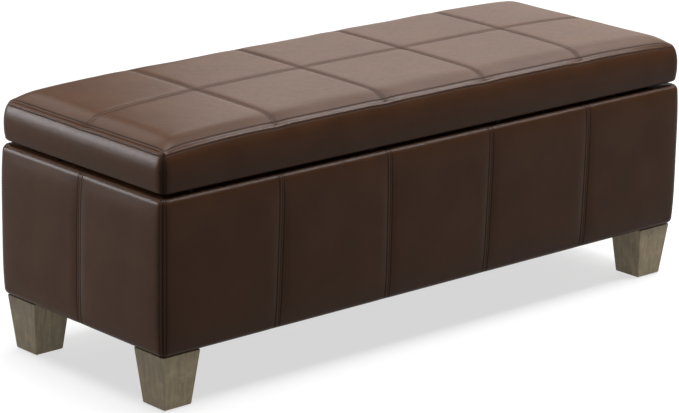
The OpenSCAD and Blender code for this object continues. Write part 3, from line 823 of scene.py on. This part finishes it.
def inflated(name, patches, pins, stretch):
    """Blows the sewn skin up against its seams with cloth simulation, and returns each patch's
    displacements. pins holds one array of True and False per patch."""
    points, indices = welded(patches)
    faces = []
    for index in indices:
        quads = grid_faces(*index.shape)
        faces += [f for f in index.reshape(-1)[quads] if len(set(f)) == 4]
    piece = new_object(name, mesh_of(name, points, faces))
    held = sorted({int(i) for index, pin in zip(indices, pins) for i in index[pin]})
    piece.vertex_groups.new(name="held").add(held, 1.0, "REPLACE")
    cloth = piece.modifiers.new("cloth", "CLOTH")
    for setting, value in CLOTH.items():
        setattr(cloth.settings, setting, value)
    cloth.settings.shrink_min = -stretch
    cloth.settings.effector_weights.gravity = 0
    cloth.settings.vertex_group_mass = "held"
    cloth.collision_settings.use_collision = False
    cloth.collision_settings.use_self_collision = False
    cloth.point_cache.frame_start = 1
    cloth.point_cache.frame_end = CLOTH_FRAMES
    scene = bpy.context.scene
    for number in range(1, CLOTH_FRAMES + 1):
        scene.frame_set(number)
    after = piece.evaluated_get(bpy.context.evaluated_depsgraph_get()).to_mesh()
    moved = np.zeros(len(after.vertices) * 3)
    after.vertices.foreach_get("co", moved)
    moved = moved.reshape(-1, 3) - points
    scene.frame_set(1)
    bpy.data.objects.remove(piece)
    return [moved[index] for index in indices]


def capped(displacement, cap):
    """Shortens each displacement smoothly so that none is longer than the cap."""
    size = np.linalg.norm(displacement, axis=2, keepdims=True)
    return displacement * (cap * np.tanh(size / cap) / np.maximum(size, 1e-9))


def smoothed(displacement, pinned, passes=4):
    """Evens out small wrinkles, and leaves what is pinned where it was."""
    for _ in range(passes):
        for axis in (0, 1):
            ends = [displacement.take([k], axis) for k in (0, -1)]
            padded = np.concatenate([ends[0], displacement, ends[1]], axis)
            count = displacement.shape[axis]
            before, after = (padded.take(range(k, k + count), axis) for k in (0, 2))
            displacement = (before + 2 * displacement + after) / 4
        displacement = displacement * ~pinned[..., None]
    return displacement


def puffed(fine, coarse, displacement):
    """Adds the coarse patch's displacements to the fine patch, through cubic splines."""
    by_a = spline_matrix(coarse.a, fine.a)
    by_b = spline_matrix(coarse.b, fine.b)
    fine.points = fine.points + np.einsum("ia,abk,jb->ijk", by_a, displacement, by_b)


# ------------ lid upholstery

LID_FINE_STEP = 5 * MM
LID_TRIAL_STEP = 11 * MM
LID_STRETCH = 0.003         # share by which the cloth may grow in the simulation
TOP_CAP = 1.3 * MM          # furthest that the simulation may move the top, and the bands
BAND_CAP = 1.5 * MM

EDGE_ROUNDING = 0.5 * MM    # the stitched edge is rounded over between its stitch rows
EDGE_WIDTH = 2.4 * MM
POLISH_WIDTH = 5 * MM
CORNER_CREASE = 1.0 * MM    # extra depth of the seams at the lid's corners
# painted shade on the strip between the stitch rows at the lid's corners
CORNER_PAINTED_SHADE = 0.6
FOLD_RUN = 20 * MM          # length under the lid or box over which the seams' relief fades out
ROUND_RUN = 10 * MM         # length over which it comes back round the board's edge
HIDDEN_LOSS = 0.7           # share of the relief that is lost under the lid and over the rim


def coarse_lines(half, seams, corner, step):
    """Grid lines for the simulation, with one on every seam and none inside the corners."""
    stops = [-half, -half + corner, *seams, half - corner, half]
    found = [-half]
    for low, high in zip(stops[:-1], stops[1:]):
        at_corner = min(low + half, half - high) < 1e-6
        count = 1 if at_corner else max(1, round((high - low) / step))
        found += [low + (high - low) * k / count for k in range(1, count + 1)]
    return np.array(found)


def wall_lines(half, seams, corner, step):
    """The same along a wall, from the middle of one rounded corner to the middle of the next."""
    lines = coarse_lines(half, seams, corner, step)
    lines[0], lines[-1] = -corner_measure(half, corner), corner_measure(half, corner)
    return lines


def coarse_lid_top(seams_x, seams_y, step):
    return lid_top_over(coarse_lines(TOP_X, seams_x, TOP_CORNER, step),
                        coarse_lines(TOP_Y, seams_y, TOP_CORNER, step))


def lid_cover_patches():
    """The lid's sewn skin, swelled against its seams and then creased and puckered along them."""
    coarse = [coarse_lid_top(CROSS_SEAMS, [0.0], LID_TRIAL_STEP)]
    fine = [lid_top_over(grid_lines(-TOP_X, TOP_X, TOP_SEAMS_X, LID_FINE_STEP),
                         grid_lines(-TOP_Y, TOP_Y, TOP_SEAMS_Y, LID_FINE_STEP))]
    path = lid_path()
    trial_b = path.lines(LID_TRIAL_STEP)
    fine_b = path.lines(LID_FINE_STEP, [path.length])
    for side in SIDES:
        half, seams = (LID_X, CROSS_SEAMS) if is_long(side) else (LID_Y, [0.0])
        trial_a = wall_lines(half, seams, LID_CORNER, LID_TRIAL_STEP)
        coarse.append(lid_band_over(side, trial_a, trial_b))
        end = corner_measure(half, LID_CORNER)
        fine.append(lid_band_over(side, grid_lines(-end, end, [-end, end], LID_FINE_STEP), fine_b))
    pins = lid_pins(coarse)
    moved = inflated("lid_skin_trial", coarse, pins, LID_STRETCH)
    caps = [TOP_CAP] + [BAND_CAP] * len(SIDES)
    for patch, trial, pin, shift, cap in zip(fine, coarse, pins, moved, caps):
        puffed(patch, trial, capped(smoothed(shift, pin), cap))
    relieve_lid_top(fine[0])
    for patch in fine[1:]:
        relieve_band(patch)
    return fine


def on_any(values, places):
    return np.min(np.abs(values[:, None] - np.array(places)[None, :]), axis=1) < 0.1 * MM


def lid_pins(coarse):
    """The skin is held along every seam, and where it turns under the board."""
    top = coarse[0]
    pins = [on_any(top.a, TOP_SEAMS_X)[:, None] | on_any(top.b, TOP_SEAMS_Y)[None, :]]
    upright = lid_path().begins(2)
    for patch in coarse[1:]:
        ends = on_any(patch.a, [patch.a[0], patch.a[-1]])
        held = (patch.b < upright + 0.1 * MM) | on_any(patch.b, [patch.b[-1]])
        pins.append(ends[:, None] | held[None, :])
    return pins


def shared_direction(normals, other, distance):
    """Turns the normals towards the direction that two panels share at their seam."""
    weight = bell(distance, 4 * MM)[..., None]
    both = normals * (1 - weight) + other * weight
    return both / np.linalg.norm(both, axis=2, keepdims=True)


def edge_direction(x_out, y_out):
    """Halfway between straight out and straight up, at the lid's stitched edge."""
    out = np.stack([x_out, y_out, np.zeros_like(x_out)], axis=-1)
    out /= np.maximum(np.linalg.norm(out, axis=-1, keepdims=True), 1e-9)
    out[..., 2] = 1.1
    return out / np.linalg.norm(out, axis=-1, keepdims=True)


def sewn_edge(patch, distance, along, seed):
    """The same as Patch.sewn for the lid's stitched edge, which is also rounded and polished."""
    patch.polish = bell(distance, POLISH_WIDTH)
    rounding = -EDGE_ROUNDING * bell(distance, EDGE_WIDTH)
    return rounding + patch.sewn(LID_EDGE_SEAM, distance, along, seed)


def relieve_lid_top(top):
    """Presses the top's seams in: the centre seam is faint, and the cross seams are deep."""
    u, v = top.measures()
    relief = top.sewn(LID_CENTRE_SEAM, np.abs(v), u, seed=20)
    for k, seam in enumerate(CROSS_SEAMS):
        relief += top.sewn(LID_CROSS_SEAM, np.abs(u - seam), v, seed=10 + k)
    end, side = TOP_X - np.abs(u), TOP_Y - np.abs(v)
    edge = np.minimum(end, side)
    relief += sewn_edge(top, edge, np.where(end < side, v, u), seed=30)
    flat_x = np.where(end < side, np.sign(u), corner_share(u, TOP_X) * np.sign(u))
    flat_y = np.where(side <= end, np.sign(v), corner_share(v, TOP_Y) * np.sign(v))
    normals = shared_direction(top.normals(), edge_direction(flat_x, flat_y), edge)
    top.move(relief, normals)


def relieve_band(patch):
    """Presses in a band's stitched edge, and the seams at its corners."""
    along, across = patch.measures()
    edge, end = patch.b[-1] - across, patch.a[-1] - np.abs(along)
    relief = sewn_edge(patch, edge, along, seed=40)
    relief += patch.sewn(LID_CORNER_SEAM, end, across, seed=50)
    relief -= CORNER_CREASE * bell(end, 2 * MM)
    # painted shade darkens the strip between the corner seam's stitch rows
    patch.shade = np.maximum(patch.shade, CORNER_PAINTED_SHADE * (end < STITCH_ROW))
    underneath = 1 - np.clip((across - lid_path().begins(1)) / ROUND_RUN, 0, 1)
    relief *= np.clip(across / FOLD_RUN, 0, 1) * (1 - HIDDEN_LOSS * underneath)
    normals = patch.normals()
    flat = normals.copy()
    flat[..., 2] = 0
    shared = shared_direction(normals, edge_direction(flat[..., 0], flat[..., 1]), edge)
    patch.move(relief, shared)


# ------------ box upholstery

BASE_FINE_STEP = 6 * MM
BASE_TRIAL_STEP = 14 * MM
BASE_STRETCH = 0.002
BASE_CAP = 2.0 * MM


def base_cover_patch(side):
    """One wall of the box's cover, swelled a little between its seams, then creased along them."""
    path = base_path(side)
    half = BASE_X if is_long(side) else BASE_Y
    end = corner_measure(half, BASE_CORNER)
    fine_a = grid_lines(-end, end, [-end, *base_seams(side), end], BASE_FINE_STEP)
    fine = base_wall_over(side, fine_a, path.lines(BASE_FINE_STEP))
    face_low, face_high = path.begins(2), path.begins(3)
    a = wall_lines(half, base_seams(side), BASE_CORNER, BASE_TRIAL_STEP)
    coarse = base_wall_over(side, a, path.lines(BASE_TRIAL_STEP))
    seams = on_any(coarse.a, [coarse.a[0], *base_seams(side), coarse.a[-1]])
    held = (coarse.b < face_low + 0.1 * MM) | (coarse.b > face_high - 0.1 * MM)
    pin = seams[:, None] | held[None, :]
    shift = inflated(f"base_{side}_trial", [coarse], [pin], BASE_STRETCH)[0]
    puffed(fine, coarse, capped(smoothed(shift, pin), BASE_CAP))
    along, across = fine.measures()
    relief = fine.sewn(BASE_CORNER_SEAM, fine.a[-1] - np.abs(along), across, seed=60)
    for k, seam in enumerate(base_seams(side)):
        relief += fine.sewn(BASE_SEAM, np.abs(along - seam), across, seed=70 + k)
    over_rim = np.clip((across - face_high) / (path.begins(4) - face_high), 0, 1)
    relief *= np.clip(across / FOLD_RUN, 0, 1) * (1 - HIDDEN_LOSS * over_rim)
    fine.move(relief)
    return fine


def tucked(patch):
    """The panel with its seam allowances: its two ends are turned inwards behind the seams."""
    inwards = patch.points[[0, -1]] - patch.normals()[[0, -1]] * 1.5 * MM
    points = np.concatenate([inwards[:1], patch.points, inwards[1:]])
    a = np.concatenate([patch.a[:1] - 1 * MM, patch.a, patch.a[-1:] + 1 * MM])
    whole = Patch(a, patch.b, points)
    # the seam allowances carry on the painted shade of the panel's ends
    whole.shade = np.pad(patch.shade, ((1, 1), (0, 0)), mode="edge")
    return whole


# ------------ stitches


def stitch_row(patch, a, b):
    """Stitches along a line on a patch, given as close points in its two measures."""
    points, normals = patch.at(a, b)
    lengths = np.concatenate([[0], np.cumsum(np.linalg.norm(np.diff(points, axis=0), axis=1))])
    count = int((lengths[-1] - 2 * MM) / STITCH_PITCH)
    margin = (lengths[-1] - count * STITCH_PITCH) / 2
    found = []
    for k in range(count):
        begin = margin + k * STITCH_PITCH + (STITCH_PITCH - STITCH_LENGTH) / 2
        places = begin + STITCH_LENGTH * np.array([0.0, 0.25, 0.75, 1.0])
        centre = np.stack([np.interp(places, lengths, points[:, i]) for i in range(3)], axis=1)
        up = np.stack([np.interp(places, lengths, normals[:, i]) for i in range(3)], axis=1)
        found.append((centre, up))
    return found


THREAD_SIDES = 6
THREAD_LIFTS = np.array([-0.35, 0.12, 0.12, -0.35]) * MM
THREAD_TAPER = np.array([0.55, 1.0, 1.0, 0.55])


def stitches_mesh(name, stitches, radius=THREAD_RADIUS):
    """Short arched threads, or staples, whose ends go into the cloth."""
    sides, rings = THREAD_SIDES, len(THREAD_LIFTS)
    radii = radius * THREAD_TAPER
    turns = np.linspace(0, 2 * math.pi, sides, endpoint=False)
    verts, faces = [], []
    for centre, up in stitches:
        start = len(verts) * sides
        ahead = centre[-1] - centre[0]
        ahead /= np.linalg.norm(ahead)
        for k in range(rings):
            normal = up[k] / np.linalg.norm(up[k])
            across = np.cross(ahead, normal)
            ring = centre[k] + normal * THREAD_LIFTS[k] + radii[k] * (
                np.cos(turns)[:, None] * across + np.sin(turns)[:, None] * normal)
            verts.append(ring)
        for k in range(rings - 1):
            for s in range(sides):
                low, after = start + k * sides + s, start + k * sides + (s + 1) % sides
                faces.append((low, low + sides, after + sides, after))
        faces.append(tuple(start + s for s in range(sides)))
        faces.append(tuple(start + (rings - 1) * sides + s for s in reversed(range(sides))))
    return mesh_of(name, np.concatenate(verts), faces)


def line_between(low, high, step=2 * MM):
    return np.linspace(low, high, max(2, int(abs(high - low) / step)))


def row_along(patch, places, b):
    """Stitches along a patch at the measure b across it."""
    return stitch_row(patch, places, np.full_like(places, b))


def row_across(patch, a, places):
    """Stitches across a patch at the measure a along it."""
    return stitch_row(patch, np.full_like(places, a), places)


def lid_stitches(patches):
    """Rows on both sides of every seam of the lid."""
    top, bands = patches[0], patches[1:]
    inside = 1.5 * MM
    v = line_between(-TOP_Y + inside, TOP_Y - inside)
    u = line_between(-TOP_X + inside, TOP_X - inside)
    rows = []
    for seam in CROSS_SEAMS:
        for offset in (-STITCH_ROW, STITCH_ROW):
            rows += row_across(top, seam + offset, v)
    for offset in (-STITCH_ROW, STITCH_ROW):
        rows += row_along(top, u, offset)
    x, y = TOP_X - STITCH_ROW, TOP_Y - STITCH_ROW
    for sign in (-1, 1):
        rows += row_along(top, line_between(-x, x), sign * y)
        rows += row_across(top, sign * x, line_between(-y, y))
    edge_round = lid_path().begins(1)
    for band in bands:
        end, edge = band.a[-1], band.b[-1] - STITCH_ROW
        rows += row_along(band, line_between(-end + STITCH_ROW, end - STITCH_ROW), edge)
        for sign in (-1, 1):
            across = line_between(edge_round, edge - 2 * MM)
            rows += row_across(band, sign * (end - STITCH_ROW), across)
    return rows


def base_stitches(side, patch):
    """Rows on both sides of the upright seams of one wall, and beside its corners."""
    path = base_path(side)
    across = line_between(path.begins(1), path.begins(4) + 2 * MM)
    end = patch.a[-1] - STITCH_ROW
    places = [-end, end]
    places += [seam + offset for seam in base_seams(side) for offset in (-STITCH_ROW, STITCH_ROW)]
    rows = []
    for place in places:
        rows += row_across(patch, place, across)
    return rows


# ------------ upholstery pieces


def add_piece(name, mesh, body, slot, replaced=(), finish=None):
    """A piece that rides on a body, and stands for the CAD nodes that it replaces."""
    piece = new_object(name, mesh, FINISHES[finish or slot])
    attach(piece, body)
    if replaced:
        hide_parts(*replaced)
    return piece


def add_threads(name, body, rows):
    add_piece(name, stitches_mesh(name, rows), body, "faux_leather", finish="sewing_thread")


def add_padded(name, patches, body, slot, replaced, weld=None):
    piece = add_piece(name, mesh_of_patches(name, patches, weld), body, slot, replaced)


def make_lid_cover():
    patches = lid_cover_patches()
    replaced = ["lid_cover_top"] + [f"lid_band_{side}" for side in SIDES]
    add_padded("lid_cover", patches, "lid", "faux_leather", replaced, 0.15 * MM)
    add_threads("lid_topstitching", "lid", lid_stitches(patches))


def make_base_cover():
    rows = []
    for side in SIDES:
        patch = base_cover_patch(side)
        rows += base_stitches(side, patch)
        add_padded(f"base_upholstery_{side}", [tucked(patch)], "base", "faux_leather",
                   [f"base_cover_{side}"])
    add_threads("base_topstitching", "base", rows)


FOAM_WELD = 0.3 * MM
LID_FOAM_STEP = 20 * MM
BASE_FOAM_STEP = 40 * MM


def foam_wall(side, path, half_x, half_y, corner, step):
    """One side of a block or ring of foam, from its section."""
    a = wall_lines(half_x if is_long(side) else half_y, [], corner, step)
    along, length = np.meshgrid(a, path.lines(step), indexing="ij")
    depth, height = path.at(length)
    points, _ = wall_points(side, along, depth, height, half_x, half_y, corner)
    return Patch(a, path.lines(step), points)


def make_lid_foam():
    """One block over the board and down its edges, a little smaller than the cover's inside."""
    clear = 5 * MM
    board = [axis + 0.3 * MM for axis in high_of("lid_board")[:2]]
    seat = high_of("lid_board").z + 0.05 * MM
    edge = LID_X - board[0]
    path = Path(edge, seat).run(edge, LID_LOW + 4 * MM).run(clear + 2 * MM, LID_LOW + 4 * MM)
    path.run(clear, LID_LOW + 8 * MM).run(clear, LID_EDGE - 16 * MM)
    top = coarse_lid_top([], [], LID_FOAM_STEP)
    scale = np.array([(TOP_X - clear) / TOP_X, (TOP_Y - clear) / TOP_Y, 1])
    top.points = top.points * scale - np.array([0, 0, 9 * MM])
    patches = [top]
    for side in SIDES:
        wall = foam_wall(side, path, LID_X, LID_Y, LID_CORNER, LID_FOAM_STEP)
        ends = {"front": (slice(None), 0), "rear": (slice(None, None, -1), -1),
                "right": (-1, slice(None)), "left": (0, slice(None, None, -1))}[side]
        wall.points[:, -1] = top.points[ends]
        patches.append(wall)
    lines = [np.linspace(-half, half, count) for half, count in zip(board, (30, 12))]
    x, y = np.meshgrid(*lines, indexing="ij")
    patches.append(Patch(x[:, 0], y[0], np.stack([-x, y, np.full_like(x, seat)], axis=-1)))
    add_padded("lid_foam_block", patches, "lid", "foam", ["lid_foam"], FOAM_WELD)


def make_base_foam():
    """A ring of foam over the outside of the box and its top edge, inside the cover."""
    clear, board = 4.5 * MM, WALL_OUTSIDE - 0.2 * MM
    path = Path(board, BASE_LOW + 3 * MM).run(clear + 2 * MM, BASE_LOW + 3 * MM)
    path.run(clear, BASE_LOW + 7 * MM).run(clear, BASE_HIGH - 12 * MM)
    path.run(board, BASE_HIGH - 5.5 * MM).run(board, BASE_LOW + 3 * MM)
    patches = [foam_wall(side, path, BASE_X, BASE_Y, BASE_CORNER, BASE_FOAM_STEP) for side in SIDES]
    add_padded("base_foam_wrap", patches, "base", "foam", [f"base_foam_{side}" for side in SIDES],
               FOAM_WELD)


make_lid_cover()
make_base_cover()
make_lid_foam()
make_base_foam()

# ------------ legs and glides

LEG_TOP = 78 * MM
LEG_FOOT = 57 * MM
LEG_SOFT = 1.6 * MM         # radius of the leg's upright edges
LEG_TRIM = 0.9 * MM         # chamfer round its two ends
LEG_PARTS = 8               # points along each side
LEG_BORE = 4.05 * MM
LEG_BORE_DEPTH = 40 * MM
LEG_SHARES = (0.0, 0.012, 0.1, 0.2, 0.35, 0.5, 0.65, 0.8, 0.9, 0.988, 1.0)


def rotated(point, turn):
    x, y = point
    return x * math.cos(turn) - y * math.sin(turn), x * math.sin(turn) + y * math.cos(turn)


def rounded_square(half, radius):
    """Points round a square with small rounded corners."""
    points = []
    corner = half - radius
    for k in range(4):
        turn = k * QUARTER
        for t in np.linspace(-1, 1, LEG_PARTS, endpoint=False)[1:]:
            points.append(rotated((half, t * corner), turn))
        for t in np.linspace(0, QUARTER, 4):
            point = (corner + radius * math.cos(t), corner + radius * math.sin(t))
            points.append(rotated(point, turn))
    return np.array(points)


def tube_faces(rings, sides):
    faces = []
    for first in range(0, (rings - 1) * sides, sides):
        for s in range(sides):
            low, after = first + s, first + (s + 1) % sides
            faces.append((low, after, after + sides, low + sides))
    return faces


def make_leg(node):
    """A tapered square leg with softened edges and a blind bore for its hanger bolt."""
    low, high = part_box(node)
    centre = (low + high) / 2
    height = high.z - low.z
    rings = []
    for share in LEG_SHARES:
        half = (LEG_FOOT + (LEG_TOP - LEG_FOOT) * share) / 2
        trim = LEG_TRIM if share in (0.0, 1.0) else 0
        ring = rounded_square(half - trim, LEG_SOFT)
        rings.append([(centre.x + x, centre.y + y, low.z + height * share) for x, y in ring])
    sides = len(rings[0])
    turns = [math.atan2(y, x) for x, y in rounded_square(1, 0.02)]
    circle = [(centre.x + LEG_BORE * math.cos(t), centre.y + LEG_BORE * math.sin(t)) for t in turns]
    for z in (high.z, high.z - LEG_BORE_DEPTH):
        rings.append([(x, y, z) for x, y in circle])
    faces = tube_faces(len(rings), sides)
    faces.append(tuple(reversed(range(sides))))
    faces.append(tuple(range((len(rings) - 1) * sides, len(rings) * sides)))
    mesh = mesh_of(f"{node}_turned", np.concatenate(rings), faces, smooth=False)
    add_piece(f"{node}_tapered", mesh, "base", "leg_wood", [node])


for end in ("front", "rear"):
    for hand in ("left", "right"):
        make_leg(f"leg_{end}_{hand}")

# ------------ linings


def lining_mesh(name, grid, thickness):
    """A thin cloth from a grid of points: two faces a thickness apart, closed along the edges."""
    patch = Patch(np.arange(grid.shape[0]), np.arange(grid.shape[1]), grid)
    away = patch.points - patch.normals() * thickness
    rows, columns = grid.shape[:2]
    verts = np.concatenate([grid.reshape(-1, 3), away.reshape(-1, 3)])
    front = grid_faces(rows, columns)
    back = grid_faces(rows, columns, rows * columns)[:, ::-1]
    ring = [i * columns for i in range(rows)]
    ring += [(rows - 1) * columns + j for j in range(1, columns)]
    ring += [i * columns + columns - 1 for i in range(rows - 2, -1, -1)]
    ring += list(range(columns - 2, 0, -1))
    rim = [(a, a + rows * columns, b + rows * columns, b) for a, b in zip(ring, ring[1:] + ring[:1])]
    return mesh_of(name, verts, [tuple(f) for f in np.concatenate([front, back])] + rim)


SLACK_RUN = 70 * MM         # from a tacked edge to where the lining is fully slack
RIPPLE = 0.5 * MM
RIPPLE_RUN = 26 * MM
RIPPLE_ACROSS = 31 * MM
RIPPLE_ALONG = 44 * MM
TACKED = 6 * MM
SHEET_THICKNESS = 0.5 * MM
SHEET_INSET = 0.2 * MM


def sagged_panel(name, body, node, facing, sag):
    """A flat lining, taut along its edges and slightly slack and wavy inside them."""
    low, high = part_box(node)
    x = np.linspace(low.x + SHEET_INSET, high.x - SHEET_INSET, 140)
    y = np.linspace(low.y + SHEET_INSET, high.y - SHEET_INSET, 52)
    across, along = np.meshgrid(x, y, indexing="ij")
    edge = np.minimum(high.x - SHEET_INSET - np.abs(across), high.y - SHEET_INSET - np.abs(along))
    slack = np.clip(edge / SLACK_RUN, 0, 1) ** 1.5
    ripple = np.sin(across / RIPPLE_ACROSS + 0.7 * np.sin(along / RIPPLE_ALONG))
    ripple = ripple * np.exp(-edge / RIPPLE_RUN)
    drop = sag * slack + RIPPLE * ripple * np.clip(edge / TACKED, 0, 1)
    z = (low.z + high.z) / 2 + facing * drop
    if facing < 0:
        across = across[::-1]
    mesh = lining_mesh(name, np.stack([across, along, z], axis=-1), SHEET_THICKNESS)
    panel = add_piece(name, mesh, body, "lining_fabric", [node])


WALL_LINING_POINTS = 620
WALL_LINING_ROWS = 26
WALL_LINING_CORNER = 6 * MM
WALL_LINING_SLACK = 0.9 * MM
WALL_LINING_WAVES = (41, 67)    # waves round the whole lining


def wall_lining_ring():
    """The lining of the storage space's four walls, tacked along its top edge, with slack waves."""
    low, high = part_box("wall_lining")
    half_x, half_y, corner = high.x - 0.5 * MM, high.y - 0.5 * MM, WALL_LINING_CORNER
    perimeter = 4 * (half_x + half_y)
    count = WALL_LINING_POINTS
    points, outward = [], []
    for k in range(count):
        along = perimeter * k / count
        for side in SIDES:
            length = 2 * (half_x if is_long(side) else half_y)
            if along < length:
                break
            along -= length
        (tx, ty), (nx, ny) = SIDES[side]
        along -= length / 2
        far = half_y if is_long(side) else half_x
        near_end = np.clip((corner - (length / 2 - abs(along))) / corner, 0, 1)
        pull = corner * (1 - math.sqrt(1 - near_end ** 2 / 2))
        points.append((along * tx + (far - pull) * nx, along * ty + (far - pull) * ny))
        outward.append((nx, ny))
    points, outward = np.array(points), np.array(outward)
    heights = np.linspace(low.z, high.z - 0.3 * MM, WALL_LINING_ROWS)
    share = (heights - low.z) / (high.z - low.z)
    measure = perimeter * np.arange(count) / count
    first, second = (2 * math.pi * measure / (perimeter / n) for n in WALL_LINING_WAVES)
    wave = np.sin(first) + 0.6 * np.sin(second + 1)
    hung = np.sin(math.pi * np.clip(share, 0, 1)) ** 0.8
    depth = WALL_LINING_SLACK * np.outer(1 + wave / 1.6, hung)
    grid = np.zeros((count + 1, len(heights), 3))
    closed = np.concatenate([np.arange(count), [0]])
    inwards = -outward[closed][:, None, :] * depth[closed][..., None]
    grid[..., :2] = points[closed][:, None, :] + inwards
    grid[..., 2] = heights[None, :]
    ring = Patch(np.arange(count + 1), heights, grid)
    mesh = mesh_of_patches("wall_lining_cloth", [ring], 0.05 * MM)
    lining = add_piece("wall_lining_cloth", mesh, "base", "lining_fabric", ["wall_lining"])


wall_lining_ring()
sagged_panel("floor_lining_cloth", "base", "floor_lining", 1, 0.6 * MM)
sagged_panel("dust_cover_cloth", "base", "dust_cover", -1, 1.2 * MM)
sagged_panel("lid_underlining_cloth", "lid", "lid_underlining", -1, 0.5 * MM)

STAPLE_PITCH = 55 * MM
STAPLE_WIDTH = 10 * MM
STAPLE_RADIUS = 0.45 * MM
STAPLE_END = 25 * MM        # from a corner to the nearest staple
STAPLE_SHAPE = np.array([-0.5, -0.42, 0.42, 0.5])
STAPLE_SEED = 11


def stapled_edge(name, body, node, facing, inset):
    """Staples along the four edges of a lining, each slightly askew."""
    low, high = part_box(node)
    level = (low.z + high.z) / 2 + facing * 0.5 * MM
    half_x, half_y = high.x - inset, high.y - inset
    askew = np.random.default_rng(STAPLE_SEED)
    staples = []
    for side, (tangent, outward) in SIDES.items():
        half, far = (half_x, half_y) if is_long(side) else (half_y, half_x)
        count = round(2 * half / STAPLE_PITCH)
        middles = np.linspace(-half + STAPLE_END, half - STAPLE_END, count)
        for middle in middles + askew.uniform(-4, 4, count) * MM:
            tilt = askew.uniform(-0.25, 0.25)
            steps = STAPLE_SHAPE * STAPLE_WIDTH
            along = middle + steps * math.cos(tilt)
            out = far + steps * math.sin(tilt)
            x, y = (along * tangent[axis] + out * outward[axis] for axis in (0, 1))
            centre = np.stack([x, y, np.full(len(steps), level)], axis=1)
            staples.append((centre, np.tile([0.0, 0.0, facing], (len(steps), 1))))
    add_piece(name, stitches_mesh(name, staples, STAPLE_RADIUS), body, "fastener_steel")


stapled_edge("dust_cover_staples", "base", "dust_cover", -1, 8 * MM)
stapled_edge("lid_underlining_staples", "lid", "lid_underlining", -1, 7 * MM)

# ------------ CAD parts that stay

for subpart in frame["record"]["subparts"]:
    node = frame["nodes"][subpart["node"]]
    node.data.materials.clear()
    node.data.materials.append(FINISHES[subpart["material_slot"]])

# ------------ floor and light


def floor_finish():
    """Pale and matt. It glows slightly, so that the background comes out nearly white."""
    made = Finish("studio_floor", specular_ior_level=0.1, emission_color=(1, 1, 1, 1),
                  emission_strength=0.66)
    cloud = made.noise(0.8, detail=2)
    tone = made.ramp(cloud, (0.2, (0.095, 0.095, 0.095)), (0.8, (0.10, 0.10, 0.10)))
    made.set(base_color=tone, roughness=0.9)


def area_light(name, place_at, target, size, power, colour=(1, 1, 1), lights_only=None):
    data = bpy.data.lights.new(name, "AREA")
    data.shape = "RECTANGLE"
    data.size, data.size_y = size
    data.energy = power
    data.color = colour
    lamp = bpy.data.objects.new(name, data)
    lamp.location = place_at
    lamp.rotation_euler = (Vector(target) - Vector(place_at)).to_track_quat("-Z", "Y").to_euler()
    lamp.visible_camera = False
    if lights_only:
        lamp.light_linking.receiver_collection = lights_only
    bpy.context.scene.collection.objects.link(lamp)


def sun_light(name, direction, strength, spread):
    data = bpy.data.lights.new(name, "SUN")
    data.energy = strength
    data.angle = spread
    lamp = bpy.data.objects.new(name, data)
    lamp.rotation_euler = Vector(direction).to_track_quat("-Z", "Y").to_euler()
    bpy.context.scene.collection.objects.link(lamp)


FLOOR_SIZE = 30.0
corners = [(x * FLOOR_SIZE, y * FLOOR_SIZE, 0) for x, y in ((-1, -1), (1, -1), (1, 1), (-1, 1))]
floor_finish()
floor = new_object("floor", mesh_of("floor", corners, [(0, 1, 2, 3)]), FINISHES["studio_floor"])

world = bpy.data.worlds.new("studio")
world.use_nodes = True
background = world.node_tree.nodes["Background"]
background.inputs["Color"].default_value = (1, 1, 1, 1)
background.inputs["Strength"].default_value = 0.25
bpy.context.scene.world = world

LEATHER_PIECES = ("lid_cover", "lid_topstitching", "base_upholstery", "base_topstitching")
upholstery = bpy.data.collections.new("upholstery")
for piece in bpy.data.objects:
    if piece.name.startswith(LEATHER_PIECES):
        upholstery.objects.link(piece)
sun_light("overhead", (0.0, 0.0, -1.0), 11.5, math.radians(42))
area_light("behind", (3.75, 2.2, 1.95), (0.6, 0, 0.46), (4.2, 2.7), 58, (1, 0.90, 0.84))
area_light("front_panel", (1.75, -0.35, 2.6), (0.1, 0, 0.45), (2.4, 1.4), 66)
area_light("shoulder_panel", (2.35, 1.25, 2.45), (0.2, 0, 0.45), (3.0, 0.9), 30)
area_light("front_bar", (1.75, -1.0, 2.4), (1.75, -0.22, 0.45), (2.2, 0.3), 85)
area_light("end_bar", (-0.5, 1.95, 2.3), (-0.6, 0, 0.45), (1.8, 1.6), 34)
area_light("left", (-2.4, 2.2, 1.0), (-0.6, 0, 0.40), (1.5, 0.9), 150, (0.92, 0.96, 1),
           lights_only=upholstery)
